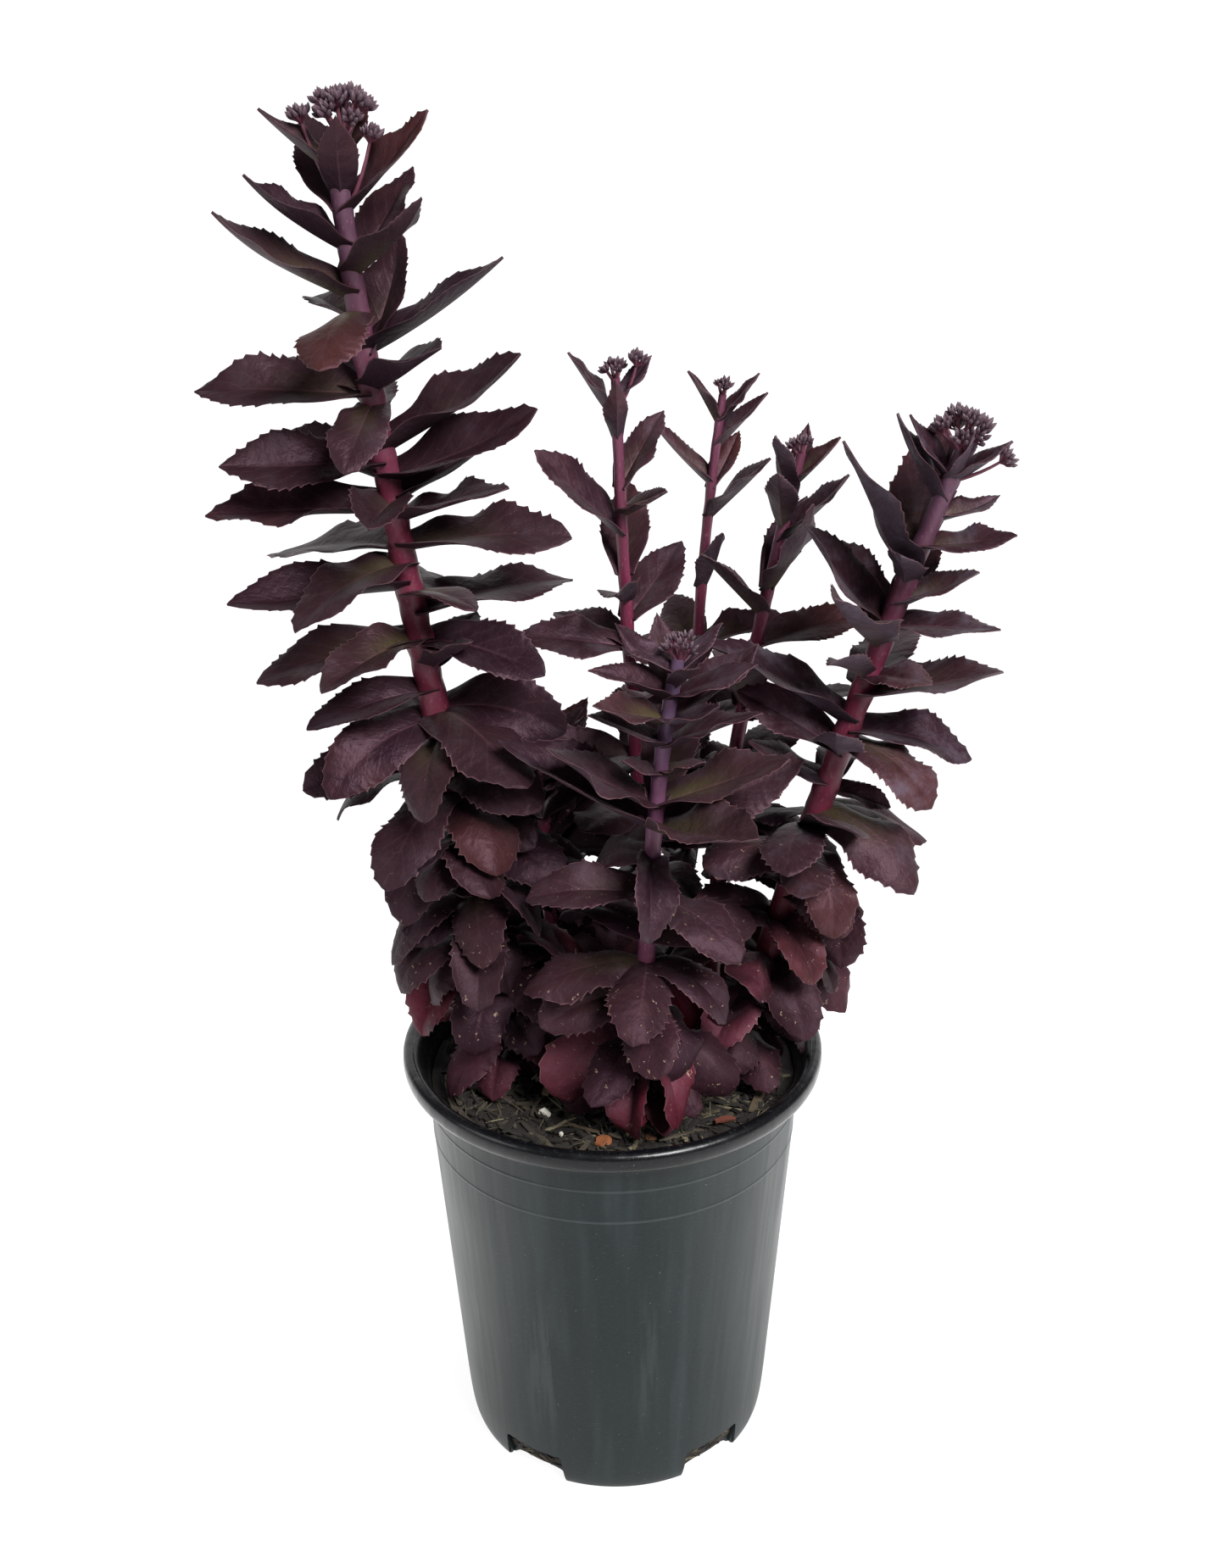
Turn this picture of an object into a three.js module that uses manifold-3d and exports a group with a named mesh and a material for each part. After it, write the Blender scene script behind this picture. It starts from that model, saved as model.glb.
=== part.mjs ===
// A purple-leaved stonecrop in a round nursery pot: the pot, its potting mix, seven leafy shoots standing in
// plain holes in the mix, and a flat head of buds on each shoot that flowers.
// Millimetres, +Z up. The origin is on the pot's axis, level with the surface that its feet stand on.
import * as THREE from 'three';
import { mergeVertices } from 'three/addons/utils/BufferGeometryUtils.js';
import Module from 'manifold-3d';

const wasm = await Module();
wasm.setup();

// Pot
const RIM_RADIUS = 82.5;
const POT_HEIGHT = 175;
const NECK_RADIUS = 74;
const NECK_HEIGHT = 165;
const SHOULDER_RADIUS = 63;
const SHOULDER_HEIGHT = 14;
const FOOT_RADIUS = 60.6;
const FOOT_THICKNESS = 2.2;
const WALL = 1.7;
const BASE_UNDERSIDE = 2.5;
const BASE_THICKNESS = 1.8;
const POT_SIDES = 28;
// The rolled rim, from its lower lip over its top to its inner lip: in from RIM_RADIUS, up from NECK_HEIGHT
const RIM_ROLL = [[1.6, 1.2], [0, 3.4], [0.2, 7.8], [2.2, 10], [7.9, 4]];
// Drain notches in the foot: each cuts the wall from NOTCH_NEAR outwards. The first turns this far from +X.
const NOTCH_COUNT = 5;
const NOTCH_FIRST = -51.4;
const NOTCH_HEIGHT = 13.6;
const NOTCH_WIDTH = 26.4;
const NOTCH_NEAR = 56.8;
const NOTCH_DEPTH = 12;

// Potting mix: it keeps SOIL_SPARE to the pot. Chips and perlite keep CHIP_ROOM to the middle of every stem.
const SOIL_LEVEL = 160;
const SOIL_SPARE = 0.4;
const SOIL_RELIEF = 0.9;
const SOIL_RINGS = [1, 0.82, 0.58, 0.3, 0];
const CHIP_COUNT = 5;
const CHIP_SIZE = [11, 3.4, 2.6];
const CHIP_ROOM = 13;
const PERLITE_COUNT = 3;
const PERLITE_RADIUS = 2.1;

// Stems stand this deep in the mix, in holes wider than them by HOLE_SPARE all round
const STEM_FOOT = 146;
const HOLE_SPARE = 0.5;
const STEM_SIDES = 6;
const STEM_STEP = 45;

// Leaves. A pair of values is that of a young leaf and that of an old one, whose bend is AGED_BEND or more.
const LEAF_RATIO = [0.46, 0.49];
const BRACT_RATIO = 0.4;
const BRACT_ZONE = 60;
const AGED_BEND = 70;
const LEAF_THICKNESS = 1.9;
const TIP_THINNING = 0.4;
const RIB_STEPS = 20;
const STEEPEST_DROOP = -86;
const ROOT_OUT = 0.3;
const NECK_TO_STEM = [1.8, 1.3];
const NECK_MOST = 0.62;
const BROADEST = [0.46, 0.6];
const TAPER = [0.8, 0.6];
const BRACT_TAPER = 1.2;
const CUP = [34, -4];
const CUP_LOST_AT_TIP = 0.55;
const TURN_TO_LIGHT = 24;

// Turns and lifts, in degrees, that a leaf tries in order, at each share of its length, until it has room
const TURNS_AND_LIFTS = [
  [0, 0], [0, 10], [12, 0], [-12, 0], [14, 10], [-14, 10], [0, 20], [24, 4], [-24, 4], [26, 16], [-26, 16],
  [0, -12], [12, -12], [-12, -12], [38, 10], [-38, 10], [0, 32], [20, 30], [-20, 30],
];
const LENGTH_TRIES = [1, 0.84, 0.7, 0.56];
const LEAST_OPENING = 14;

// How far a young leaf and an old one may differ at random: direction, opening, bend, sweep, roll and cup in
// degrees, length and width as a share of themselves. A narrow leaf is folded up more.
const VARY = {
  direction: [6, 16],
  open: [5, 10],
  bend: [8, 26],
  sweep: [12, 26],
  roll: [16, 32],
  cup: [10, 34],
  length: [0.06, 0.12],
  width: [0.08, 0.12],
};

// Room that a leaf keeps: to the leaves of other shoots, to its own shoot's, to stems, and to the pot and mix
const CLEAR_OF_OTHERS = 5.2;
const CLEAR_OF_OWN = 2.2;
const CLEAR_OF_STEMS = 3.6;
const CLEAR_OF_RIM = 2.5;
const CLEAR_OF_SOIL = 3;
const OPEN_INNER_RADIUS = 71.5;

// Buds: the golden angle between one and the next, and how far the outermost lean from upright, as 1 - cosine
const GOLDEN_ANGLE = Math.PI * (3 - Math.sqrt(5));
const HEAD_SPREAD = 0.8;
const HEAD_GAP = 0.3;
const KNOT_RADIUS = 2.6;
const DOME_SIDES = 6;
const TWIG_BEND = -20;
const TWIG_SECTION = [[0.8, 0], [-0.5, 0.8], [-0.5, -0.8]];

// A shoot's route is a cubic curve, its girth the stem's radius at foot and tip. A whorl is its height, the
// angle that its leaves open from the stem, their length, how far they bend down (or up, below zero), and
// the direction of each leaf round the stem, from +X towards +Y. A spray is a side twig of buds: its height,
// opening angle, length and direction. A head is its radius and its number of buds.
const SHOOTS = [
  {
    name: 'tall',
    route: [[-34, -2, STEM_FOOT], [-52, -5, 262], [-76, -8, 372], [-84, -14, 511]],
    girth: [5.6, 2.8],
    head: { radius: 10.5, buds: 17 },
    sprays: [[490, 30, 27, 178], [486, 38, 25, 352]],
    whorls: [
      [500, 50, 30, -12, [186, 62]],
      [492, 42, 30, -14, [284]],
      [487, 56, 40, -12, [4, 118]],
      [476, 60, 42, -10, [196]],
      [468, 60, 43, -10, [322, 60]],
      [461, 64, 50, -14, [186]],
      [456, 88, 42, 50, [240]],
      [453, 78, 40, 4, [130]],
      [443, 66, 58, -14, [2]],
      [441, 62, 44, -10, [50]],
      [431, 68, 46, -8, [318]],
      [429, 80, 57, 0, [188, 120]],
      [426, 86, 36, 48, [276]],
      [422, 84, 38, 14, [90]],
      [410, 68, 60, -10, [4]],
      [406, 84, 52, 6, [186]],
      [400, 76, 60, -6, [344, 130]],
      [392, 78, 50, 6, [40, 262]],
      [389, 82, 62, 8, [186]],
      [386, 78, 44, 4, [316]],
      [376, 86, 62, 12, [356, 140]],
      [370, 80, 50, 30, [226]],
      [362, 80, 60, 10, [186]],
      [359, 80, 36, 40, [304, 90]],
      [352, 86, 58, 18, [4]],
      [342, 84, 58, 20, [186]],
      [341, 82, 50, 40, [222, 326]],
      [331, 70, 32, 20, [312, 50]],
      [322, 78, 48, 34, [216]],
      [315, 84, 52, 58, [2, 334]],
      [311, 76, 48, 46, [200, 120]],
      [305, 70, 44, 90, [272]],
      [300, 74, 50, 60, [206, 60]],
      [290, 72, 50, 66, [320]],
      [282, 72, 52, 72, [2, 150, 236, 290]],
      [262, 68, 46, 88, [212, 250, 295, 340]],
      [243, 64, 46, 98, [228, 272, 316, 20]],
      [223, 62, 44, 104, [200, 240, 285, 330]],
      [204, 58, 46, 106, [215, 262, 305, 30]],
      [184, 58, 41, 108, [180, 232, 280, 320]],
      [171, 60, 34, 100, [255, 300]],
    ],
  },
  {
    name: 'front',
    route: [[10, -30, STEM_FOOT], [13, -33, 220], [13, -37, 290], [24, -42, 346]],
    girth: [3.3, 2.2],
    head: { radius: 6.5, buds: 10 },
    sprays: [],
    whorls: [
      [340, 64, 26, -6, [172, 50]],
      [336, 50, 22, -8, [282]],
      [331, 54, 33, -8, [196, 340, 110]],
      [322, 58, 40, -8, [300, 30, 222]],
      [313, 60, 38, -6, [350, 206]],
      [302, 62, 20, -4, [335, 220]],
      [290, 66, 50, -6, [352, 192, 80]],
      [281, 66, 61, 2, [178, 25, 300]],
      [269, 84, 38, 66, [266, 130]],
      [254, 78, 48, 34, [332, 204]],
      [238, 76, 44, 52, [24, 150]],
      [226, 74, 45, 50, [198, 340, 276]],
      [210, 70, 43, 76, [262, 318, 100, 205]],
      [195, 66, 42, 94, [240, 285, 330, 190]],
      [180, 62, 38, 100, [208, 255, 300, 340]],
      [170, 60, 32, 96, [232, 280, 325]],
    ],
  },
  {
    name: 'right',
    route: [[46, 2, STEM_FOOT], [64, -4, 240], [92, -12, 330], [120, -14, 409]],
    girth: [5.0, 2.6],
    head: { radius: 10, buds: 15 },
    sprays: [[398, 56, 19, 335]],
    whorls: [
      [399, 58, 26, -8, [180]],
      [401, 58, 24, -6, [70]],
      [398, 46, 26, -6, [330]],
      [397, 50, 24, -10, [276]],
      [391, 50, 34, -10, [190]],
      [385, 66, 26, -4, [14]],
      [375, 58, 35, 2, [336]],
      [364, 46, 60, -12, [202, 90]],
      [362, 58, 36, 10, [246]],
      [354, 44, 31, 0, [330, 60]],
      [346, 62, 41, 2, [338, 130]],
      [343, 56, 52, -4, [170]],
      [339, 66, 60, -6, [232]],
      [327, 62, 32, 10, [306, 226]],
      [323, 66, 48, 4, [70]],
      [320, 60, 51, 0, [340]],
      [309, 76, 64, 12, [206]],
      [306, 78, 54, 30, [8]],
      [303, 78, 47, 52, [322]],
      [297, 62, 44, 10, [184, 262]],
      [286, 74, 34, 20, [196, 80]],
      [282, 74, 29, 28, [356]],
      [275, 70, 49, 54, [326, 20]],
      [268, 72, 43, 58, [230, 284]],
      [257, 72, 42, 68, [304, 250, 200]],
      [242, 66, 37, 84, [285, 335, 165]],
      [226, 62, 38, 92, [262, 312, 5, 222]],
      [209, 60, 39, 100, [338, 290, 242, 190]],
      [192, 58, 36, 102, [312, 265, 222, 5]],
      [176, 60, 36, 98, [282, 330, 236]],
    ],
  },
  {
    name: 'back_left',
    route: [[14, 30, STEM_FOOT], [15, 38, 240], [6, 40, 330], [4, 42, 424]],
    girth: [3.0, 1.7],
    head: { radius: 4.5, buds: 6 },
    sprays: [[412, 36, 18, 350]],
    whorls: [
      [415, 42, 22, -6, [10]],
      [409, 34, 29, -6, [192]],
      [401, 28, 28, -4, [262]],
      [383, 40, 37, -8, [50]],
      [374, 62, 26, 0, [325]],
      [366, 48, 47, -10, [188]],
      [350, 46, 42, -4, [88]],
      [340, 64, 38, 10, [260]],
      [333, 78, 44, 8, [50]],
      [322, 74, 43, 10, [192, 296, 130]],
      [300, 66, 44, 20, [20, 280]],
      [276, 66, 44, 38, [175, 80, 340, 250]],
      [252, 64, 46, 56, [40, 120, 230, 290]],
      [228, 62, 46, 72, [160, 80, 240, 285]],
      [206, 60, 43, 86, [50, 120, 210]],
      [184, 58, 38, 92, [90, 160, 225, 300]],
    ],
  },
  {
    name: 'back_mid',
    route: [[30, 46, STEM_FOOT], [31, 54, 230], [33, 58, 330], [44, 60, 414]],
    girth: [2.7, 1.5],
    head: { radius: 4, buds: 5 },
    sprays: [],
    whorls: [
      [404, 34, 22, -4, [195, 350]],
      [395, 42, 29, -8, [5]],
      [381, 54, 33, -8, [192]],
      [378, 42, 28, -6, [50]],
      [368, 50, 38, -6, [312]],
      [340, 44, 36, -4, [270]],
      [314, 60, 35, 18, [110, 10]],
      [284, 62, 43, 42, [150, 40, 250, 310]],
      [254, 62, 36, 62, [90, 350]],
      [222, 60, 43, 80, [90]],
      [190, 58, 38, 90, [90]],
    ],
  },
  {
    name: 'back_right',
    route: [[40, 24, STEM_FOOT], [40, 30, 250], [52, 34, 310], [71, 32, 398]],
    girth: [3.2, 1.8],
    head: { radius: 4.5, buds: 6 },
    sprays: [],
    whorls: [
      [387, 40, 24, -4, [340, 80]],
      [381, 34, 28, -6, [222]],
      [370, 34, 38, -4, [246]],
      [365, 38, 38, -4, [352]],
      [346, 40, 42, 0, [326, 70]],
      [337, 54, 40, -6, [206]],
      [324, 60, 45, 16, [20]],
      [300, 60, 46, 30, [340, 100, 240]],
      [276, 60, 46, 50, [30, 280]],
      [252, 60, 46, 60, [80, 350]],
      [228, 60, 45, 76, [40, 110]],
      [204, 58, 41, 88, [75, 350]],
      [184, 58, 36, 92, [100, 45]],
    ],
  },
  {
    name: 'low',
    route: [[-16, 26, STEM_FOOT], [-24, 34, 190], [-28, 42, 240], [-26, 48, 276]],
    girth: [3.2, 2.0],
    head: null,
    sprays: [],
    whorls: [
      [274, 24, 28, -6, [100]],
      [266, 44, 38, 4, [145, 325, 55, 235]],
      [250, 58, 42, 30, [190, 10, 100, 280, 235]],
      [232, 62, 46, 46, [150, 60, 250, 320]],
      [213, 60, 46, 68, [100, 190, 290]],
      [194, 58, 42, 88, [150, 70, 290]],
      [178, 58, 36, 92, [110, 290]],
      [258, 60, 44, 20, [330, 285]],
      [240, 60, 46, 36, [352, 22]],
      [222, 60, 46, 56, [325, 0]],
      [203, 58, 44, 80, [345, 30]],
    ],
  },
];

// Edge of a blade: places along it, and how far each stands out beyond the plain outline, as tooth or notch
const TOOTHED_EDGE = [[0.2, 0], [0.5, 0.08], [0.6, -0.05], [0.82, 0.08]];
// The two places where the midrib bends
const RIB_PLACES = [0.22, 0.56];

// Seeds of the repeatable draws
const SOIL_SEED = 411;
const GROWTH_SEED = 20731;

const radians = THREE.MathUtils.degToRad;

const finish = {
  pot: new THREE.MeshStandardMaterial({ color: 0x343c3e, roughness: 0.45, metalness: 0 }),
  soil: new THREE.MeshStandardMaterial({ color: 0x2a221b, roughness: 0.95, metalness: 0 }),
  shoot: new THREE.MeshStandardMaterial({ color: 0x4a3a3e, roughness: 0.55, metalness: 0 }),
  buds: new THREE.MeshStandardMaterial({ color: 0x5f4b60, roughness: 0.7, metalness: 0 }),
};

// A repeatable draw from -1 to 1
function drawFrom(seed) {
  let state = seed;
  return () => {
    state = (state * 16807) % 2147483647;
    return (state / 2147483647) * 2 - 1;
  };
}

// Closed geometry to solid and back
function toSolid(geometry) {
  const bare = geometry.clone();
  bare.deleteAttribute('normal');
  bare.deleteAttribute('uv');
  const merged = mergeVertices(bare, 1e-4);
  return new wasm.Manifold(new wasm.Mesh({
    numProp: 3,
    vertProperties: merged.attributes.position.array,
    triVerts: new Uint32Array(merged.index.array),
  }));
}

function toGeometry(solid) {
  const mesh = solid.getMesh();
  const geometry = new THREE.BufferGeometry();
  geometry.setAttribute('position', new THREE.BufferAttribute(mesh.vertProperties, 3));
  geometry.setIndex(new THREE.BufferAttribute(mesh.triVerts, 1));
  geometry.computeVertexNormals();
  return geometry;
}

function polygonSolid(points, faces) {
  const geometry = new THREE.BufferGeometry();
  const numbers = points.flatMap((p) => [p.x, p.y, p.z]);
  geometry.setAttribute('position', new THREE.Float32BufferAttribute(numbers, 3));
  geometry.setIndex(faces.flat());
  return toSolid(geometry);
}

function joined(solids) {
  const whole = wasm.Manifold.union(solids);
  const bodies = whole.decompose();
  bodies.sort((a, b) => b.volume() - a.volume());
  return bodies[0];
}

// Radius of the wall's inner side at a height
const BASE_TOP = BASE_UNDERSIDE + BASE_THICKNESS;
const innerRadius = (z) => THREE.MathUtils.mapLinear(
  z, SHOULDER_HEIGHT, NECK_HEIGHT, SHOULDER_RADIUS - WALL, NECK_RADIUS - WALL,
);

// The pot: one turned wall with a rolled rim and a raised base, cut by notches at its foot
function potProfile() {
  const outline = [
    [0, BASE_UNDERSIDE],
    [FOOT_RADIUS - FOOT_THICKNESS, BASE_UNDERSIDE],
    [FOOT_RADIUS - FOOT_THICKNESS, 0],
    [FOOT_RADIUS, 0],
    [SHOULDER_RADIUS, SHOULDER_HEIGHT],
    [NECK_RADIUS, NECK_HEIGHT],
    ...RIM_ROLL.map(([inside, over]) => [RIM_RADIUS - inside, NECK_HEIGHT + over]),
    [innerRadius(NECK_HEIGHT - WALL), NECK_HEIGHT - WALL],
    [innerRadius(SHOULDER_HEIGHT), SHOULDER_HEIGHT],
    [FOOT_RADIUS - WALL, BASE_TOP],
    [0, BASE_TOP],
  ];
  return outline.map(([r, z]) => new THREE.Vector2(r, z));
}

// LatheGeometry turns its profile about Y, so the result is stood up on Z, with a vertex facing -Y
function turned(profile, sides) {
  const geometry = new THREE.LatheGeometry(profile, sides);
  geometry.rotateX(Math.PI / 2);
  return geometry;
}

function makePot() {
  let pot = toSolid(turned(potProfile(), POT_SIDES));
  for (let i = 0; i < NOTCH_COUNT; i += 1) {
    const cutter = new THREE.BoxGeometry(NOTCH_DEPTH, NOTCH_WIDTH, 2 * NOTCH_HEIGHT);
    cutter.translate(NOTCH_NEAR + NOTCH_DEPTH / 2, 0, 0);
    cutter.rotateZ(radians(NOTCH_FIRST + (360 * i) / NOTCH_COUNT));
    pot = pot.subtract(toSolid(cutter));
  }
  return pot;
}

// Stem routes
const curves = SHOOTS.map((shoot) => new THREE.CubicBezierCurve3(
  ...shoot.route.map((p) => new THREE.Vector3(...p)),
));

function alongAt(curve, height) {
  let low = 0;
  let high = 1;
  for (let i = 0; i < 30; i += 1) {
    const middle = (low + high) / 2;
    if (curve.getPoint(middle).z < height) low = middle;
    else high = middle;
  }
  return (low + high) / 2;
}

// A stem keeps its girth over most of its length and narrows towards its tip
const girthAt = (shoot, t) => THREE.MathUtils.lerp(shoot.girth[0], shoot.girth[1], t * t);

// The potting mix: a turned plug with an uneven top, bark chips and perlite bedded in it, and a hole a stem
function makeSoil() {
  const draw = drawFrom(SOIL_SEED);
  const bottom = BASE_TOP + SOIL_SPARE;
  const edge = innerRadius(SOIL_LEVEL) - SOIL_SPARE;
  const profile = [
    [0, bottom],
    [FOOT_RADIUS - WALL - SOIL_SPARE, bottom],
    [innerRadius(SHOULDER_HEIGHT) - SOIL_SPARE, SHOULDER_HEIGHT],
    ...SOIL_RINGS.map((share) => [edge * share, SOIL_LEVEL]),
  ];
  const plug = turned(profile.map(([r, z]) => new THREE.Vector2(r, z)), POT_SIDES);
  const at = plug.attributes.position;
  for (let i = 0; i < at.count; i += 1) {
    const x = at.getX(i);
    const y = at.getY(i);
    if (at.getZ(i) > SOIL_LEVEL - 0.01 && Math.hypot(x, y) < edge - 0.5) {
      at.setZ(i, SOIL_LEVEL + SOIL_RELIEF * Math.sin(x * 0.31 + 1.1) * Math.cos(y * 0.27 - 0.4));
    }
  }
  const pieces = [toSolid(plug)];
  const roomAt = (x, y) => Math.min(...curves.map((curve) => {
    const p = curve.getPoint(alongAt(curve, SOIL_LEVEL));
    return Math.hypot(p.x - x, p.y - y);
  }));
  let laid = 0;
  while (laid < CHIP_COUNT + PERLITE_COUNT) {
    const angle = draw() * Math.PI;
    const far = Math.sqrt((draw() + 1) / 2) * (edge - CHIP_SIZE[0] + 2);
    const spot = new THREE.Vector3(far * Math.cos(angle), far * Math.sin(angle), SOIL_LEVEL);
    const yaw = draw() * Math.PI;
    const tip = draw() * 0.12;
    if (roomAt(spot.x, spot.y) > CHIP_ROOM) {
      const [long, wide, thick] = CHIP_SIZE;
      const chip = laid < CHIP_COUNT
        ? new THREE.BoxGeometry(long + 3 * draw(), wide, thick)
        : new THREE.OctahedronGeometry(PERLITE_RADIUS);
      chip.rotateY(tip);
      chip.rotateZ(yaw);
      chip.translate(spot.x, spot.y, spot.z);
      pieces.push(toSolid(chip));
      laid += 1;
    }
  }
  let soil = joined(pieces);
  SHOOTS.forEach((shoot, k) => {
    soil = soil.subtract(stemSolid(shoot, curves[k], HOLE_SPARE, SOIL_LEVEL + 2 * PERLITE_RADIUS));
  });
  return soil;
}

// A stem: a tapered tube with flat ends, down to its foot in the mix
function stemSolid(shoot, curve, spare, top) {
  const last = top ? alongAt(curve, top) : 1;
  const steps = top ? 2 : Math.max(5, Math.round((curve.getLength() * last) / STEM_STEP));
  const points = [];
  const faces = [];
  for (let i = 0; i <= steps; i += 1) {
    const t = (last * i) / steps;
    const middle = curve.getPoint(t);
    const out = new THREE.Vector3(0, 1, 0).cross(curve.getTangent(t)).normalize();
    const over = curve.getTangent(t).cross(out);
    const r = girthAt(shoot, t) + spare;
    for (let j = 0; j < STEM_SIDES; j += 1) {
      const a = (j / STEM_SIDES) * 2 * Math.PI;
      const point = middle.clone().addScaledVector(out, r * Math.cos(a));
      points.push(point.addScaledVector(over, r * Math.sin(a)));
    }
  }
  if (spare) points.slice(0, STEM_SIDES).forEach((p) => { p.z -= spare; });
  for (let i = 0; i < steps; i += 1) {
    for (let j = 0; j < STEM_SIDES; j += 1) {
      const a = i * STEM_SIDES + j;
      const b = i * STEM_SIDES + ((j + 1) % STEM_SIDES);
      faces.push([a, b, b + STEM_SIDES], [a, b + STEM_SIDES, a + STEM_SIDES]);
    }
  }
  const end = steps * STEM_SIDES;
  for (let j = 1; j < STEM_SIDES - 1; j += 1) {
    faces.push([0, j + 1, j], [end, end + j, end + j + 1]);
  }
  return polygonSolid(points, faces);
}

// The midrib of a leaf: it leaves the stem at an angle and bends evenly towards its tip
function midrib(leaf) {
  const { root, tangent } = leaf;
  const aim = new THREE.Vector3(Math.cos(leaf.azimuth), Math.sin(leaf.azimuth), 0);
  const outward = aim.addScaledVector(tangent, -aim.dot(tangent)).normalize();
  const start = tangent.clone().multiplyScalar(Math.cos(leaf.open));
  start.addScaledVector(outward, Math.sin(leaf.open));
  const pitch = Math.asin(THREE.MathUtils.clamp(start.z, -1, 1));
  const heading = Math.atan2(start.y, start.x);
  const steps = [];
  for (let i = 0; i <= RIB_STEPS; i += 1) {
    const t = i / RIB_STEPS;
    const p = Math.max(pitch - leaf.bend * t, radians(STEEPEST_DROOP));
    const h = heading + leaf.sweep * t;
    steps.push({
      heading: h,
      way: new THREE.Vector3(Math.cos(p) * Math.cos(h), Math.cos(p) * Math.sin(h), Math.sin(p)),
    });
  }
  steps[0].at = root.clone();
  for (let i = 1; i <= RIB_STEPS; i += 1) {
    steps[i].at = steps[i - 1].at.clone()
      .addScaledVector(steps[i - 1].way, leaf.length / RIB_STEPS / 2)
      .addScaledVector(steps[i].way, leaf.length / RIB_STEPS / 2);
  }
  return steps;
}

// Half the width of a blade at t, from 0 to 1: narrower where it clasps the stem. A bract draws out to a long
// point, a young leaf is broadest below its middle, and an old one is broadest past its middle and blunt.
function halfWidth(t, leaf) {
  const { neck, broadest, taper } = leaf;
  if (t < broadest) return neck + (1 - neck) * Math.sin((t / broadest) * (Math.PI / 2)) ** 1.2;
  return t < 1 ? Math.cos(((t - broadest) / (1 - broadest)) * (Math.PI / 2)) ** taper : 0;
}

// A point of the blade, u across it from -1 to 1, raised by lift along the blade's upper side
function onBlade(leaf, t, u, lift = 0) {
  const f = t * RIB_STEPS;
  const i = Math.min(Math.floor(f), RIB_STEPS - 1);
  const a = leaf.rib[i];
  const b = leaf.rib[i + 1];
  const way = a.way.clone().lerp(b.way, f - i).normalize();
  const h = THREE.MathUtils.lerp(a.heading, b.heading, f - i);
  const side = new THREE.Vector3(Math.sin(h), -Math.cos(h), 0);
  const upper = side.clone().cross(way);
  const roll = leaf.roll * Math.min(1, 0.4 + t);
  const across = side.clone().multiplyScalar(Math.cos(roll)).addScaledVector(upper, Math.sin(roll));
  const above = upper.multiplyScalar(Math.cos(roll)).addScaledVector(side, -Math.sin(roll));
  const w = (leaf.width / 2) * u;
  const cup = leaf.cup * (1 - CUP_LOST_AT_TIP * t);
  return a.at.clone().lerp(b.at, f - i)
    .addScaledVector(across, w * Math.cos(cup))
    .addScaledVector(above, Math.abs(w) * Math.sin(cup) + lift);
}

const SAMPLE_T = Array.from({ length: 12 }, (_, i) => (i + 1) / 12);
const SAMPLE_U = [-1, -0.6, -0.2, 0.2, 0.6, 1];
// Leaves of one whorl meet at the stem, so they are compared from this sample on
const FIRST_APART = 4 * SAMPLE_U.length;

function samplesOf(leaf) {
  return SAMPLE_T.flatMap((t) => SAMPLE_U.map((u) => onBlade(leaf, t, u * halfWidth(t, leaf))));
}

function clearsPot(samples) {
  return samples.every((p) => {
    const inside = Math.hypot(p.x, p.y) < OPEN_INNER_RADIUS - CLEAR_OF_RIM;
    return (inside && p.z > SOIL_LEVEL + CLEAR_OF_SOIL) || p.z > POT_HEIGHT + CLEAR_OF_RIM;
  });
}

// Points of every stem and head that leaves keep clear of
const STEM_POINTS = 50;
const posts = SHOOTS.flatMap((shoot, k) => {
  const list = [];
  for (let i = 0; i <= STEM_POINTS; i += 1) {
    const t = i / STEM_POINTS;
    list.push({ k, at: curves[k].getPoint(t), radius: girthAt(shoot, t) + CLEAR_OF_STEMS });
  }
  if (shoot.head) {
    const at = curves[k].getPoint(1).add(new THREE.Vector3(0, 0, shoot.head.radius * 0.4));
    list.push({ k, at, radius: shoot.head.radius + CLEAR_OF_STEMS });
  }
  return list;
});

function nearest(samples, others) {
  let least = Infinity;
  for (const p of samples) for (const q of others) least = Math.min(least, p.distanceToSquared(q));
  return Math.sqrt(least);
}

// Room round a leaf: to other shoots, which it has to keep, and to its own shoot's leaves, which it prefers
function roomRound(leaf, k, placed) {
  if (!clearsPot(leaf.samples)) return { others: -50, all: -50 };
  let others = Infinity;
  for (const post of posts) {
    if (post.k !== k) {
      for (const p of leaf.samples) others = Math.min(others, p.distanceTo(post.at) - post.radius);
    }
  }
  let own = Infinity;
  const apart = leaf.samples.slice(FIRST_APART);
  for (const other of placed) {
    const reach = leaf.extent + other.extent + CLEAR_OF_OTHERS;
    if (leaf.middle.distanceTo(other.middle) < reach) {
      if (other.k === k) own = Math.min(own, nearest(apart, other.samples.slice(FIRST_APART)) - CLEAR_OF_OWN);
      else others = Math.min(others, nearest(leaf.samples, other.samples) - CLEAR_OF_OTHERS);
    }
  }
  return { others, all: Math.min(others, own) };
}

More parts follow.
